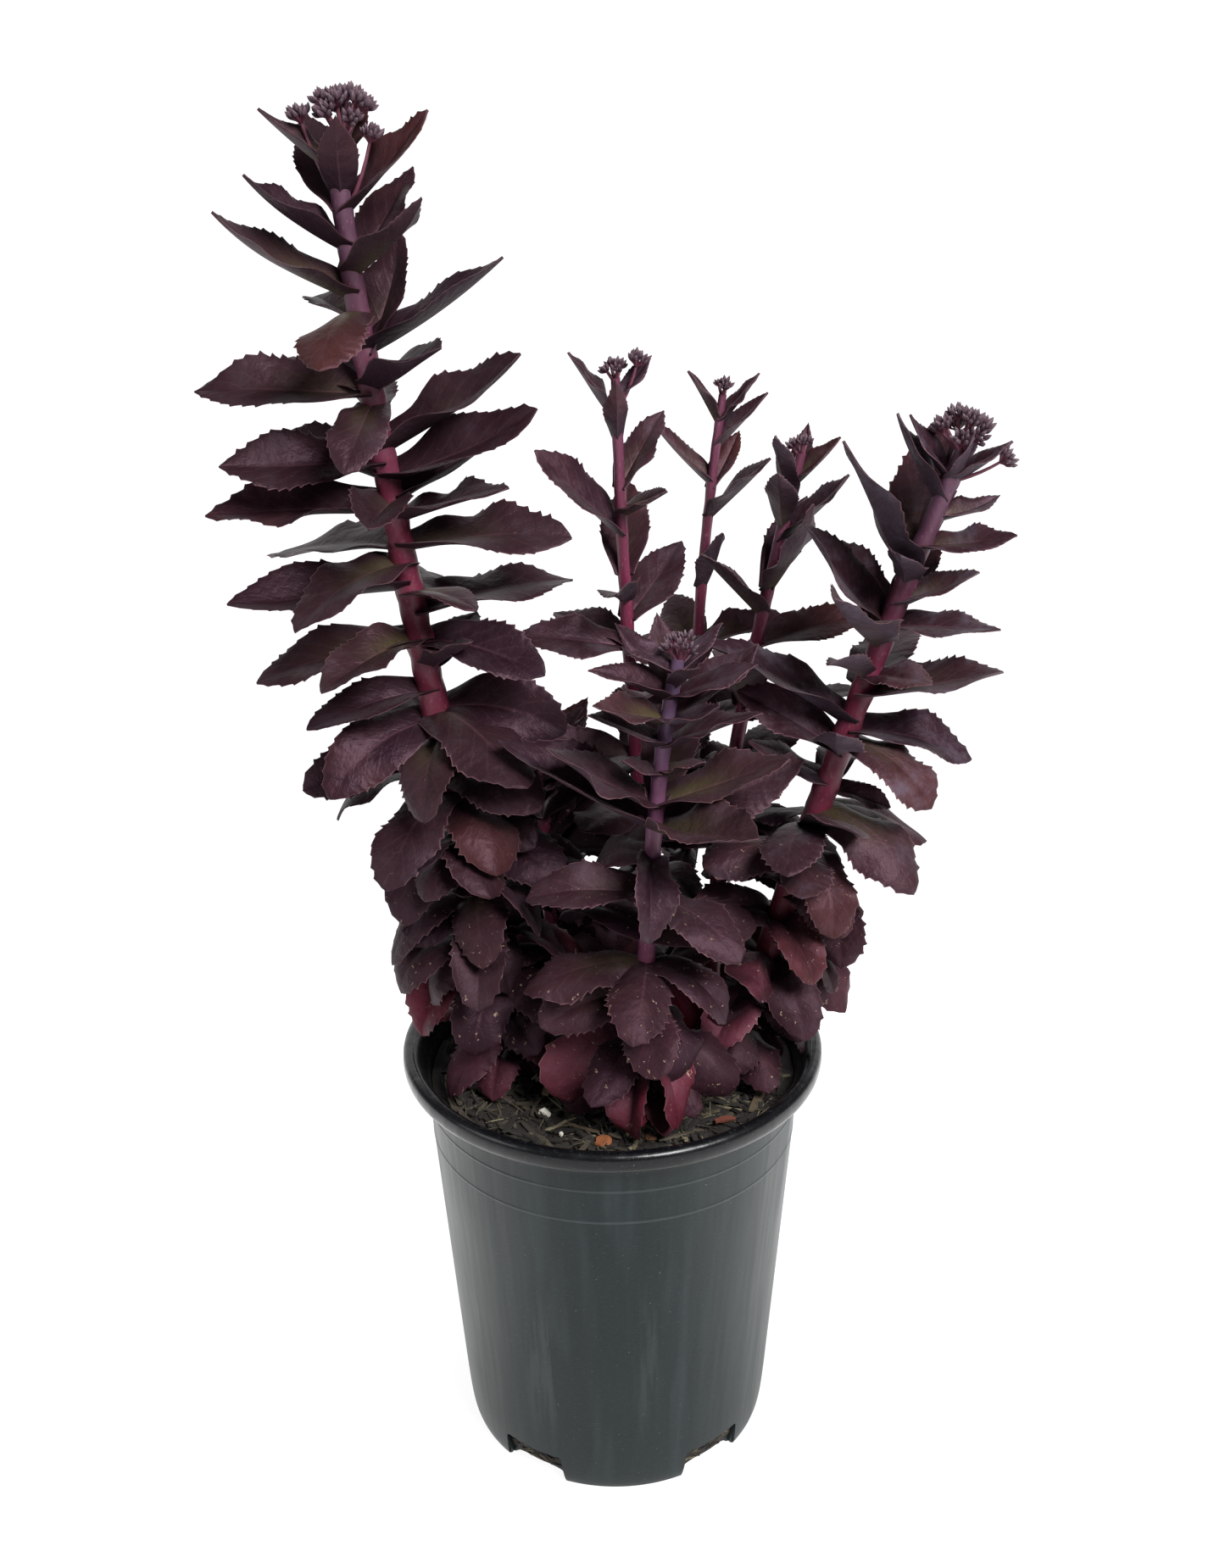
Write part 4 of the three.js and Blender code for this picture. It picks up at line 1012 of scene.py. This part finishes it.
def toothed_edge(leaf, draw):
    """Places along one edge of a blade, and how far each stands out beyond the plain outline."""
    first = 0.40 - 0.16 * leaf.age + draw.uniform(-0.03, 0.03)
    pitches = draw.uniform(0.75, 1.3, TEETH)
    starts = first + np.concatenate([[0], np.cumsum(pitches)[:-1]]) / pitches.sum() * (0.95 - first)
    pitches = pitches / pitches.sum() * (0.95 - first)
    depth = (0.078 + 0.03 * leaf.age) * (1 - 0.35 * leaf.bract) * draw.uniform(0.2, 1.4, TEETH)
    places = list(np.linspace(0.0, first, 9)[:-1])
    rises = [0.0] * 8
    for start, pitch, deep in zip(starts, pitches, depth):
        places += [start + pitch * p for p in TOOTH_PLACES]
        rises += [deep * r for r in TOOTH_RISES]
    return np.array(places + [0.962, 0.985, 1.0]), np.array(rises + [0.0, 0.0, 0.014])


def blade(leaf, draw):
    """The points of a leaf's two faces, how its finish reads each, and the faces between them."""
    sides = [toothed_edge(leaf, draw) for _ in range(2)]
    share = np.abs(BLADE_COLUMNS)[None]
    left = (BLADE_COLUMNS < 0)[None]
    edge_t = np.where(left, sides[0][0][:, None], sides[1][0][:, None])
    rise = np.where(left, sides[0][1][:, None], sides[1][1][:, None])
    middle_t = ((sides[0][0] + sides[1][0]) / 2)[:, None]
    t = middle_t + (edge_t - middle_t) * share ** 1.5
    half = leaf.half_width(t)
    u = np.sign(BLADE_COLUMNS)[None] * (share * half + rise * share ** 5)
    spread = leaf.width / 2
    soften = spread * half * np.sin(leaf.cup * (1 - CUP_LOST_AT_TIP * t)) * (share ** 1.4 - share)
    amid = np.sin(math.pi * np.clip(t, 0, 1))
    waves = 0.0
    for side in (0, 1):
        size = draw.uniform(0.03, 0.10 + 0.04 * leaf.age) * leaf.width
        count, phase = draw.uniform(1.1, 2.6), draw.uniform(0, 6.3)
        wave = size * np.sin(2 * math.pi * count * t + phase) * share ** 2 * amid ** 0.6
        waves = waves + np.where(left == (side == 0), wave, 0)
    swell = (0.5 + 0.5 * leaf.age) * np.sin(math.pi * share) * amid
    furrow = -0.5 * np.exp(-(share / 0.1) ** 2) * np.clip(1.1 - t, 0, 1)
    thick = 0.5 * LEAF_THICKNESS * (1 - 0.45 * t) * (1 - 0.72 * share ** 2.4)
    keel = 0.55 * np.exp(-(share / 0.11) ** 2) * np.clip(1 - t, 0, 1)
    fold = draw.normal(0, 0.10 + 0.26 * leaf.age) * spread * share * half * amid
    outer = np.clip((t - 0.5) / 0.5, 0, 1)
    curl = draw.normal(0.01 - 0.05 * leaf.age, 0.04 + 0.06 * leaf.age) * leaf.length * outer ** 2
    twist = draw.normal(0, 0.22 + 0.2 * leaf.age) * spread * u * t ** 2
    lift = soften + waves + fold + curl + twist
    upper = leaf.on_blade(t, u, lift + np.where(share < 1, thick + swell + furrow, 0))
    under = leaf.on_blade(t, u, lift - thick - keel + 0.5 * swell)[:, 1:-1]
    rows, columns = upper.shape[:2]
    count = rows * columns
    top = np.arange(count).reshape(rows, columns)
    low = np.hstack([top[:, :1], count + np.arange(rows * (columns - 2)).reshape(rows, -1), top[:, -1:]])
    faces = []
    for i in range(rows - 1):
        for j in range(columns - 1):
            faces.append((top[i, j], top[i, j + 1], top[i + 1, j + 1], top[i + 1, j]))
            faces.append((low[i, j], low[i + 1, j], low[i + 1, j + 1], low[i, j + 1]))
    for i, flip in ((0, False), (rows - 1, True)):
        for j in range(columns - 1):
            ring = list(dict.fromkeys([top[i, j], low[i, j], low[i, j + 1], top[i, j + 1]]))
            faces.append(tuple(reversed(ring)) if flip else tuple(ring))
    inner = (rows, columns - 2)
    readings = {
        "along": [t, t[:, 1:-1]],
        "across": [np.broadcast_to(BLADE_COLUMNS, t.shape), np.broadcast_to(BLADE_COLUMNS[1:-1], inner)],
        "upper": [np.where(share < 1, 1.0, 0.5) * np.ones_like(t), np.zeros(inner)],
    }
    readings = {name: np.concatenate([part.ravel() for part in parts]) for name, parts in readings.items()}
    points = np.vstack([upper.reshape(-1, 3), under.reshape(-1, 3)])
    own = {"age": leaf.age, "shaded": leaf.shaded, "wax": leaf.wax}
    own |= {name: draw.uniform(0, 1) for name in ("tint", "flush")}
    readings |= {name: np.full(len(points), value) for name, value in own.items()}
    return points, faces, readings


def foliage(own_leaves, seed):
    """All the leaves of a shoot as one mesh."""
    draw = np.random.default_rng(seed)
    points, faces, readings = [], [], {}
    count = 0
    for leaf in own_leaves:
        part_points, part_faces, part_readings = blade(leaf, draw)
        faces += [tuple(int(v) + count for v in face) for face in part_faces]
        points.append(part_points)
        count += len(part_points)
        for name, values in part_readings.items():
            readings.setdefault(name, []).append(values)
    return np.vstack(points), faces, {name: np.concatenate(values) for name, values in readings.items()}


def leaf_material():
    f = Finish("purple leaf")
    along, across, upper = f.reading("along"), f.reading("across"), f.reading("upper")
    age, tint, flush = f.reading("age"), f.reading("tint"), f.reading("flush")
    wax, shaded = f.reading("wax"), f.reading("shaded")
    out = abs(across)
    cloud = f.mottle(13)
    grain = f.mottle(2.4, detail=4)
    pores = f.mottle(0.5, detail=2)
    # Side veins leave the midrib at a slant
    vein = f.between((along * 44 - out * 14 + grain * 3.0).sine(), 0.8, 1.0) * f.between(out, 0.97, 0.5)
    flesh = f.mix(tint * 0.8 + cloud * 0.6 - 0.2, srgb(36, 17, 27), srgb(57, 36, 38))
    flesh = f.mix(f.between(grain, 0.4, 0.75) * 0.35, flesh, srgb(30, 18, 27))
    green = f.between(out, 0.75, 0.1) * f.between(along, 0.7, 0.15)
    green = green * f.between(tint + cloud * 0.6, 0.75, 1.2)
    flesh = f.mix(green * 0.6, flesh, srgb(82, 78, 46))
    rust = f.between(flush + cloud * 0.5, 1.0, 1.3) * f.between(along, 0.1, 0.8)
    flesh = f.mix(rust * 0.45, flesh, srgb(88, 42, 32))
    red = f.between(age + flush * 0.5 + cloud * 0.3, 1.24, 1.42) * f.between(shaded, 0.8, 0.5)
    faded = f.mix(f.between(tint + cloud * 0.7, 0.7, 1.0), srgb(104, 12, 36), srgb(90, 42, 54))
    flesh = f.mix(red * 0.85, flesh, faded)
    powder = f.between(cloud + grain * 0.4, 0.62, 1.05) * (0.34 - 0.22 * age)
    # The bloom is the leaf's own; its strength per shoot is partly painted light
    bloom = (powder + 0.16 * (1 - upper)) * (wax + (1 - wax) * age)
    flesh = f.mix(bloom, flesh, srgb(88, 80, 92))
    flesh = f.mix(f.between(out, 0.08, 0.0) * 0.3 * f.between(along, 1.0, 0.2), flesh, srgb(118, 78, 90))
    flesh = f.mix(vein * 0.07, flesh, srgb(112, 84, 90))
    # A pale margin: partly the leaf's own colour, partly painted sheen along its edges
    flesh = f.mix(f.between(out, 0.96, 0.995) * 0.5, flesh, srgb(138, 100, 104))
    # Dried hard water and old scars: a few small ragged marks, mostly on the lower leaves
    scar = f.between(f.mottle(2.6, detail=4, roughness=0.7), 0.645, 0.69) * f.between(age, 0.1, 0.7)
    fleck = f.between(f.mottle(1.2, detail=1), 0.79, 0.82)
    marks = (scar * (0.25 + 0.75 * upper) + fleck * 0.25) * f.between(shaded, 0.8, 0.5)
    # Older, lower leaves darker: partly their own ageing colour, partly painted shade
    flesh = f.mix(age * (0.6 - 0.5 * red), flesh, srgb(28, 8, 16))
    # Painted shade: near black at old leaves' bases and between the rows, a little over darker shoots
    deep = age * f.between(along + 0.3 * cloud, 0.8, 0.1) * 0.8 + shaded * 0.8
    flesh = f.mix(deep, flesh, srgb(12, 5, 9))
    flesh = f.mix(marks * 0.6, flesh, srgb(176, 152, 132))
    roughness = 0.4 + 0.18 * cloud + 0.12 * age + 0.3 * marks + 0.1 * (1 - upper)
    relief = f.bump(vein, 0.03, f.bump(f.mottle(4.5), 0.65, f.bump(pores, 0.04)))
    return f.close(flesh, roughness, relief, IOR=1.33, Specular_Tint=srgb(255, 208, 230))


leaf_finish = leaf_material()
for k, shoot in enumerate(SHOOTS):
    own = [leaf for leaf in leaves if leaf.shoot == k]
    for leaf in own:
        above_soil = leaf.height - SOIL_LEVEL
        leaf.age = min(1, max(0, (YOUNG_ABOVE_SOIL - above_soil) / (YOUNG_ABOVE_SOIL - OLD_ABOVE_SOIL)))
        leaf.wax = BLOOM_AND_LIGHT.get(shoot["name"], 1.0)
        leaf.shaded = max(leaf.shaded, SHOOT_PAINTED_SHADE.get(shoot["name"], 0))
    points, faces, readings = foliage(own, LEAF_SEED + k)
    foliage_piece = solid(f"leaves_{shoot['name']}", points, faces, leaf_finish, readings, math.radians(55))
    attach(foliage_piece, "root")
    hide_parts(f"shoot_{shoot['name']}")

# Each flowering shoot ends in a cyme: short branches of the stem that fork into clusters of small buds,
# five-angled, dusty mauve and still shut. Three shoots carry a few buds on side twigs as well.
BUD_LENGTH = 3.9
BUD_RADIUS = 0.92
HEAD_SHIFT = {"tall": (3.0, 0, 0)}
HEAD_SEED = 500
SPRAY_BEND = -20
SPRAY_BUDS = 20
SPRAY_KNOT = 3.2
SPRAY_BUD_SIZE = 0.74
BUD_ANGLED = [1.14, 0.84] * 5
BUD_ROUND = len(BUD_ANGLED)
BUD_OUTLINE = [(0.0, 0.30), (0.16, 0.78), (0.38, 1.0), (0.6, 0.86), (0.8, 0.5), (0.95, 0.16)]
GOLDEN_ANGLE = math.pi * (3 - math.sqrt(5))


def frame_of(way):
    """Two directions at right angles to a way and to each other."""
    reference = [0.0, 1.0, 0.0] if abs(way[1]) < 0.95 else [1.0, 0.0, 0.0]
    out = unit(np.cross(reference, way))
    return out, np.cross(way, out)


def ring_round(at, way, radii, turn=0.0):
    """Points round a place, square to a way, with those radii in turn."""
    out, over = frame_of(way)
    angles = [2 * math.pi * j / len(radii) + turn for j in range(len(radii))]
    return [at + (out * math.cos(a) + over * math.sin(a)) * radius for a, radius in zip(angles, radii)]


def bud(at, way, size, spin):
    """A shut bud: five rounded angles that draw in to a point."""
    points = []
    for s, r in BUD_OUTLINE:
        radii = [BUD_RADIUS * size * r * angled for angled in BUD_ANGLED]
        points += ring_round(at + way * (s * BUD_LENGTH * size), way, radii, spin)
    points.append(at + way * BUD_LENGTH * size)
    faces = [tuple(range(BUD_ROUND - 1, -1, -1)), *ring_faces(len(BUD_OUTLINE), BUD_ROUND)]
    top = (len(BUD_OUTLINE) - 1) * BUD_ROUND
    faces += [(top + j, top + (j + 1) % BUD_ROUND, len(points) - 1) for j in range(BUD_ROUND)]
    share = [s for s, _ in BUD_OUTLINE for _ in range(BUD_ROUND)] + [1.0]
    return points, faces, share


def twig(path, radii, sides=7):
    """A thin round branch through a few points."""
    path = np.asarray(path, float)
    points = []
    for i, at in enumerate(path):
        way = unit(path[min(i + 1, len(path) - 1)] - path[max(i - 1, 0)])
        points += ring_round(at, way, [radii[i]] * sides)
    return points, rod_faces(len(path), sides), [0.0] * len(points)


def arched(start, end, rise, steps=5):
    s = np.linspace(0, 1, steps)[:, None]
    return start * (1 - s) + end * s + np.array([0, 0, 1.0]) * rise * np.sin(math.pi * s)


def cluster(at, way, count, radius, size, draw):
    """A forked knot of buds: stalks spread from one point, a bud on each."""
    buds, stalks = [], []
    out, over = frame_of(way)
    for i in range(count):
        polar = math.acos(1 - (i + 0.5) / count * 0.55)
        around = i * GOLDEN_ANGLE + draw.uniform(-0.2, 0.2)
        aim = way * math.cos(polar) + (out * math.cos(around) + over * math.sin(around)) * math.sin(polar)
        foot = at + aim * radius * draw.uniform(0.78, 1.1)
        grown = size * draw.uniform(0.8, 1.25)
        buds.append(bud(foot, unit(aim + way * 0.8), grown, draw.uniform(0, 1.2)))
        path = [at - way * 0.4, at + aim * radius * 0.5, foot + aim * 0.5]
        stalks.append(twig(path, [0.42, 0.34, 0.4], sides=5))
    return buds, stalks


def cyme(shoot, draw):
    """A head: branches from the stem's tip to clusters spread over a low dome."""
    radius = shoot["head"]
    tip = np.array(shoot["route"][3], float) + HEAD_SHIFT.get(shoot["name"], (0, 0, 0))
    clusters = max(4, round(radius * 1.1))
    buds_each = max(6, round(radius * 1.1))
    bud_size = 0.52 + 0.026 * radius
    buds, stalks = [], []
    for i in range(clusters):
        polar = math.acos(1 - (i + 0.5) / clusters * 1.12)
        around = i * GOLDEN_ANGLE
        flat = math.sin(polar)
        aim = np.array([flat * math.cos(around), flat * math.sin(around), math.cos(polar)])
        place = tip + (0, 0, 0.42 * radius) + aim * (0.6 * radius, 0.6 * radius, 0.5 * radius)
        place = place + draw.uniform(-0.13, 0.13, 3) * radius
        way = unit(aim * (0.9, 0.9, 0.8) + (0, 0, 1.0))
        stalks.append(twig(arched(tip - (0, 0, 1.5), place, -0.06 * radius), [0.95, 0.8, 0.7, 0.62, 0.6]))
        more_buds, more_stalks = cluster(place, way, buds_each, radius * 0.25, bud_size, draw)
        buds += more_buds
        stalks += more_stalks
    return buds, stalks


def side_twig(shoot, spray, draw):
    height, opening, length, direction = spray
    along = along_at(shoot["route"], height)
    rib = Leaf(
        on_route(shoot["route"], along), way_of_route(shoot["route"], along), float(girth_at(shoot, along)),
        math.radians(direction), math.radians(opening), math.radians(SPRAY_BEND), length,
    )
    path = rib.at[::4]
    stalks = [twig(path, np.linspace(0.8, 0.5, len(path)))]
    buds, more = cluster(path[-1], rib.way[-1], SPRAY_BUDS, SPRAY_KNOT, SPRAY_BUD_SIZE, draw)
    return buds, stalks + more


def bud_material():
    f = Finish("shut buds")
    share = f.reading("share")
    cloud = f.mottle(3.0)
    skin = f.mix(cloud, srgb(66, 44, 56), srgb(88, 68, 78))
    skin = f.mix(f.between(share, 0.6, 1.0) * 0.6, skin, srgb(120, 102, 110))
    skin = f.mix(f.between(share, 0.5, 0.0) * 0.8, skin, srgb(44, 18, 28))
    return f.close(skin, 0.5 + 0.2 * cloud, f.bump(f.mottle(0.4), 0.08), IOR=1.42)


def stalk_material():
    f = Finish("bud stalks")
    cloud = f.mottle(2.0)
    skin = f.mix(cloud, srgb(84, 34, 50), srgb(112, 62, 80))
    return f.close(skin, 0.5 + 0.2 * cloud, f.bump(cloud, 0.1))


bud_finish, stalk_finish = bud_material(), stalk_material()
for k, shoot in enumerate(SHOOTS):
    draw = np.random.default_rng(HEAD_SEED + k)
    if shoot["head"]:
        buds, stalks = cyme(shoot, draw)
        points, faces, shares = gathered(buds)
        head = solid(f"cyme_{shoot['name']}", points, faces, bud_finish, {"share": shares})
        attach(head, "root")
        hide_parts(f"buds_{shoot['name']}")
        points, faces, shares = gathered(stalks)
        forks = solid(f"cyme_stalks_{shoot['name']}", points, faces, stalk_finish, {"share": shares})
        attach(forks, "root")
    for number, spray in enumerate(shoot["sprays"]):
        buds, stalks = side_twig(shoot, spray, draw)
        for part, parts, finish in (("buds", buds, bud_finish), ("stalks", stalks, stalk_finish)):
            points, faces, shares = gathered(parts)
            name = f"side_{part}_{shoot['name']}_{number + 1}"
            piece = solid(name, points, faces, finish, {"share": shares})
            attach(piece, "root")

# The studio: a white sweep that curves up behind and glows like a light table, more so beside the pot, faint
# light from all round, a large lamp at the upper right, a weak one at the left, and a camera above, looking
# down.
FLOOR_HALF = 5.0
SWEEP_START = 2.5
SWEEP_RADIUS = 2.0
WALL_TOP = 4.0
GLOW_NEAR = 0.93
GLOW_ASIDE = 1.7
GLOW_FAR = 1.0
GLOW_ROUND = 0.1
PLANT_MIDDLE = (0, 0, 0.25)
CAMERA_AT = (1.24, -606.7, 543.7)
CAMERA_PITCH = 23.312
CAMERA_ROLL = -0.675
FOCAL_PIXELS = 2100
FRAME_HIGH = 1850
SENSOR = 36.0


def sweep_points():
    outline = [(-FLOOR_HALF, 0), (SWEEP_START, 0)]
    for angle in np.linspace(0, math.pi / 2, 16)[1:]:
        outline.append((SWEEP_START + SWEEP_RADIUS * math.sin(angle), SWEEP_RADIUS * (1 - math.cos(angle))))
    outline.append((SWEEP_START + SWEEP_RADIUS, WALL_TOP))
    points = [(x / MM, y / MM, z / MM) for y, z in outline for x in (-FLOOR_HALF, FLOOR_HALF)]
    faces = [(2 * i, 2 * i + 1, 2 * i + 3, 2 * i + 2) for i in range(len(outline) - 1)]
    return points, faces


def paper_material():
    f = Finish("white paper")
    behind = f.between(f.axis("Y"), 150, 1800)
    aside = f.between(abs(f.axis("X")), 60, 170) * f.between(abs(f.axis("Y") - 60), 420, 160)
    near, beside, far = ((glow, glow, glow, 1) for glow in (GLOW_NEAR, GLOW_ASIDE, GLOW_FAR))
    glow = f.mix(aside, f.mix(behind, near, far), beside)
    relief = f.bump(f.mottle(1.5), 0.02)
    return f.close(srgb(100, 100, 100), 0.8, relief, Emission_Color=glow, Emission_Strength=1.0)


def lamp(name, at, aim, size, power):
    light = bpy.data.lights.new(name, "AREA")
    light.energy = power
    light.shape = "DISK"
    light.size = size
    holder = bpy.data.objects.new(name, light)
    holder.location = at
    holder.rotation_euler = (Vector(aim) - Vector(at)).to_track_quat("-Z", "Y").to_euler()
    bpy.context.scene.collection.objects.link(holder)


floor = solid("floor", *sweep_points(), paper_material())

world = bpy.data.worlds.new("soft light")
world.use_nodes = True
world.node_tree.nodes["Background"].inputs["Color"].default_value = (1.0, 1.0, 1.0, 1.0)
world.node_tree.nodes["Background"].inputs["Strength"].default_value = GLOW_ROUND
bpy.context.scene.world = world
bpy.context.scene.view_settings.view_transform = "Standard"
lamp("key", (0.8, -1.1, 1.6), PLANT_MIDDLE, size=0.9, power=62)
lamp("fill", (-1.5, -0.6, 1.1), PLANT_MIDDLE, size=1.0, power=7)

view = bpy.data.cameras.new("camera")
view.sensor_width = SENSOR
view.lens = SENSOR * FOCAL_PIXELS / FRAME_HIGH
view.clip_start = 0.01
view.clip_end = 20
camera = bpy.data.objects.new("camera", view)
camera.matrix_world = (
    Matrix.Translation(Vector(CAMERA_AT) * MM)
    @ Matrix.Rotation(math.radians(90 - CAMERA_PITCH), 4, "X")
    @ Matrix.Rotation(math.radians(CAMERA_ROLL), 4, "Z")
)
bpy.context.scene.collection.objects.link(camera)
bpy.context.scene.camera = camera
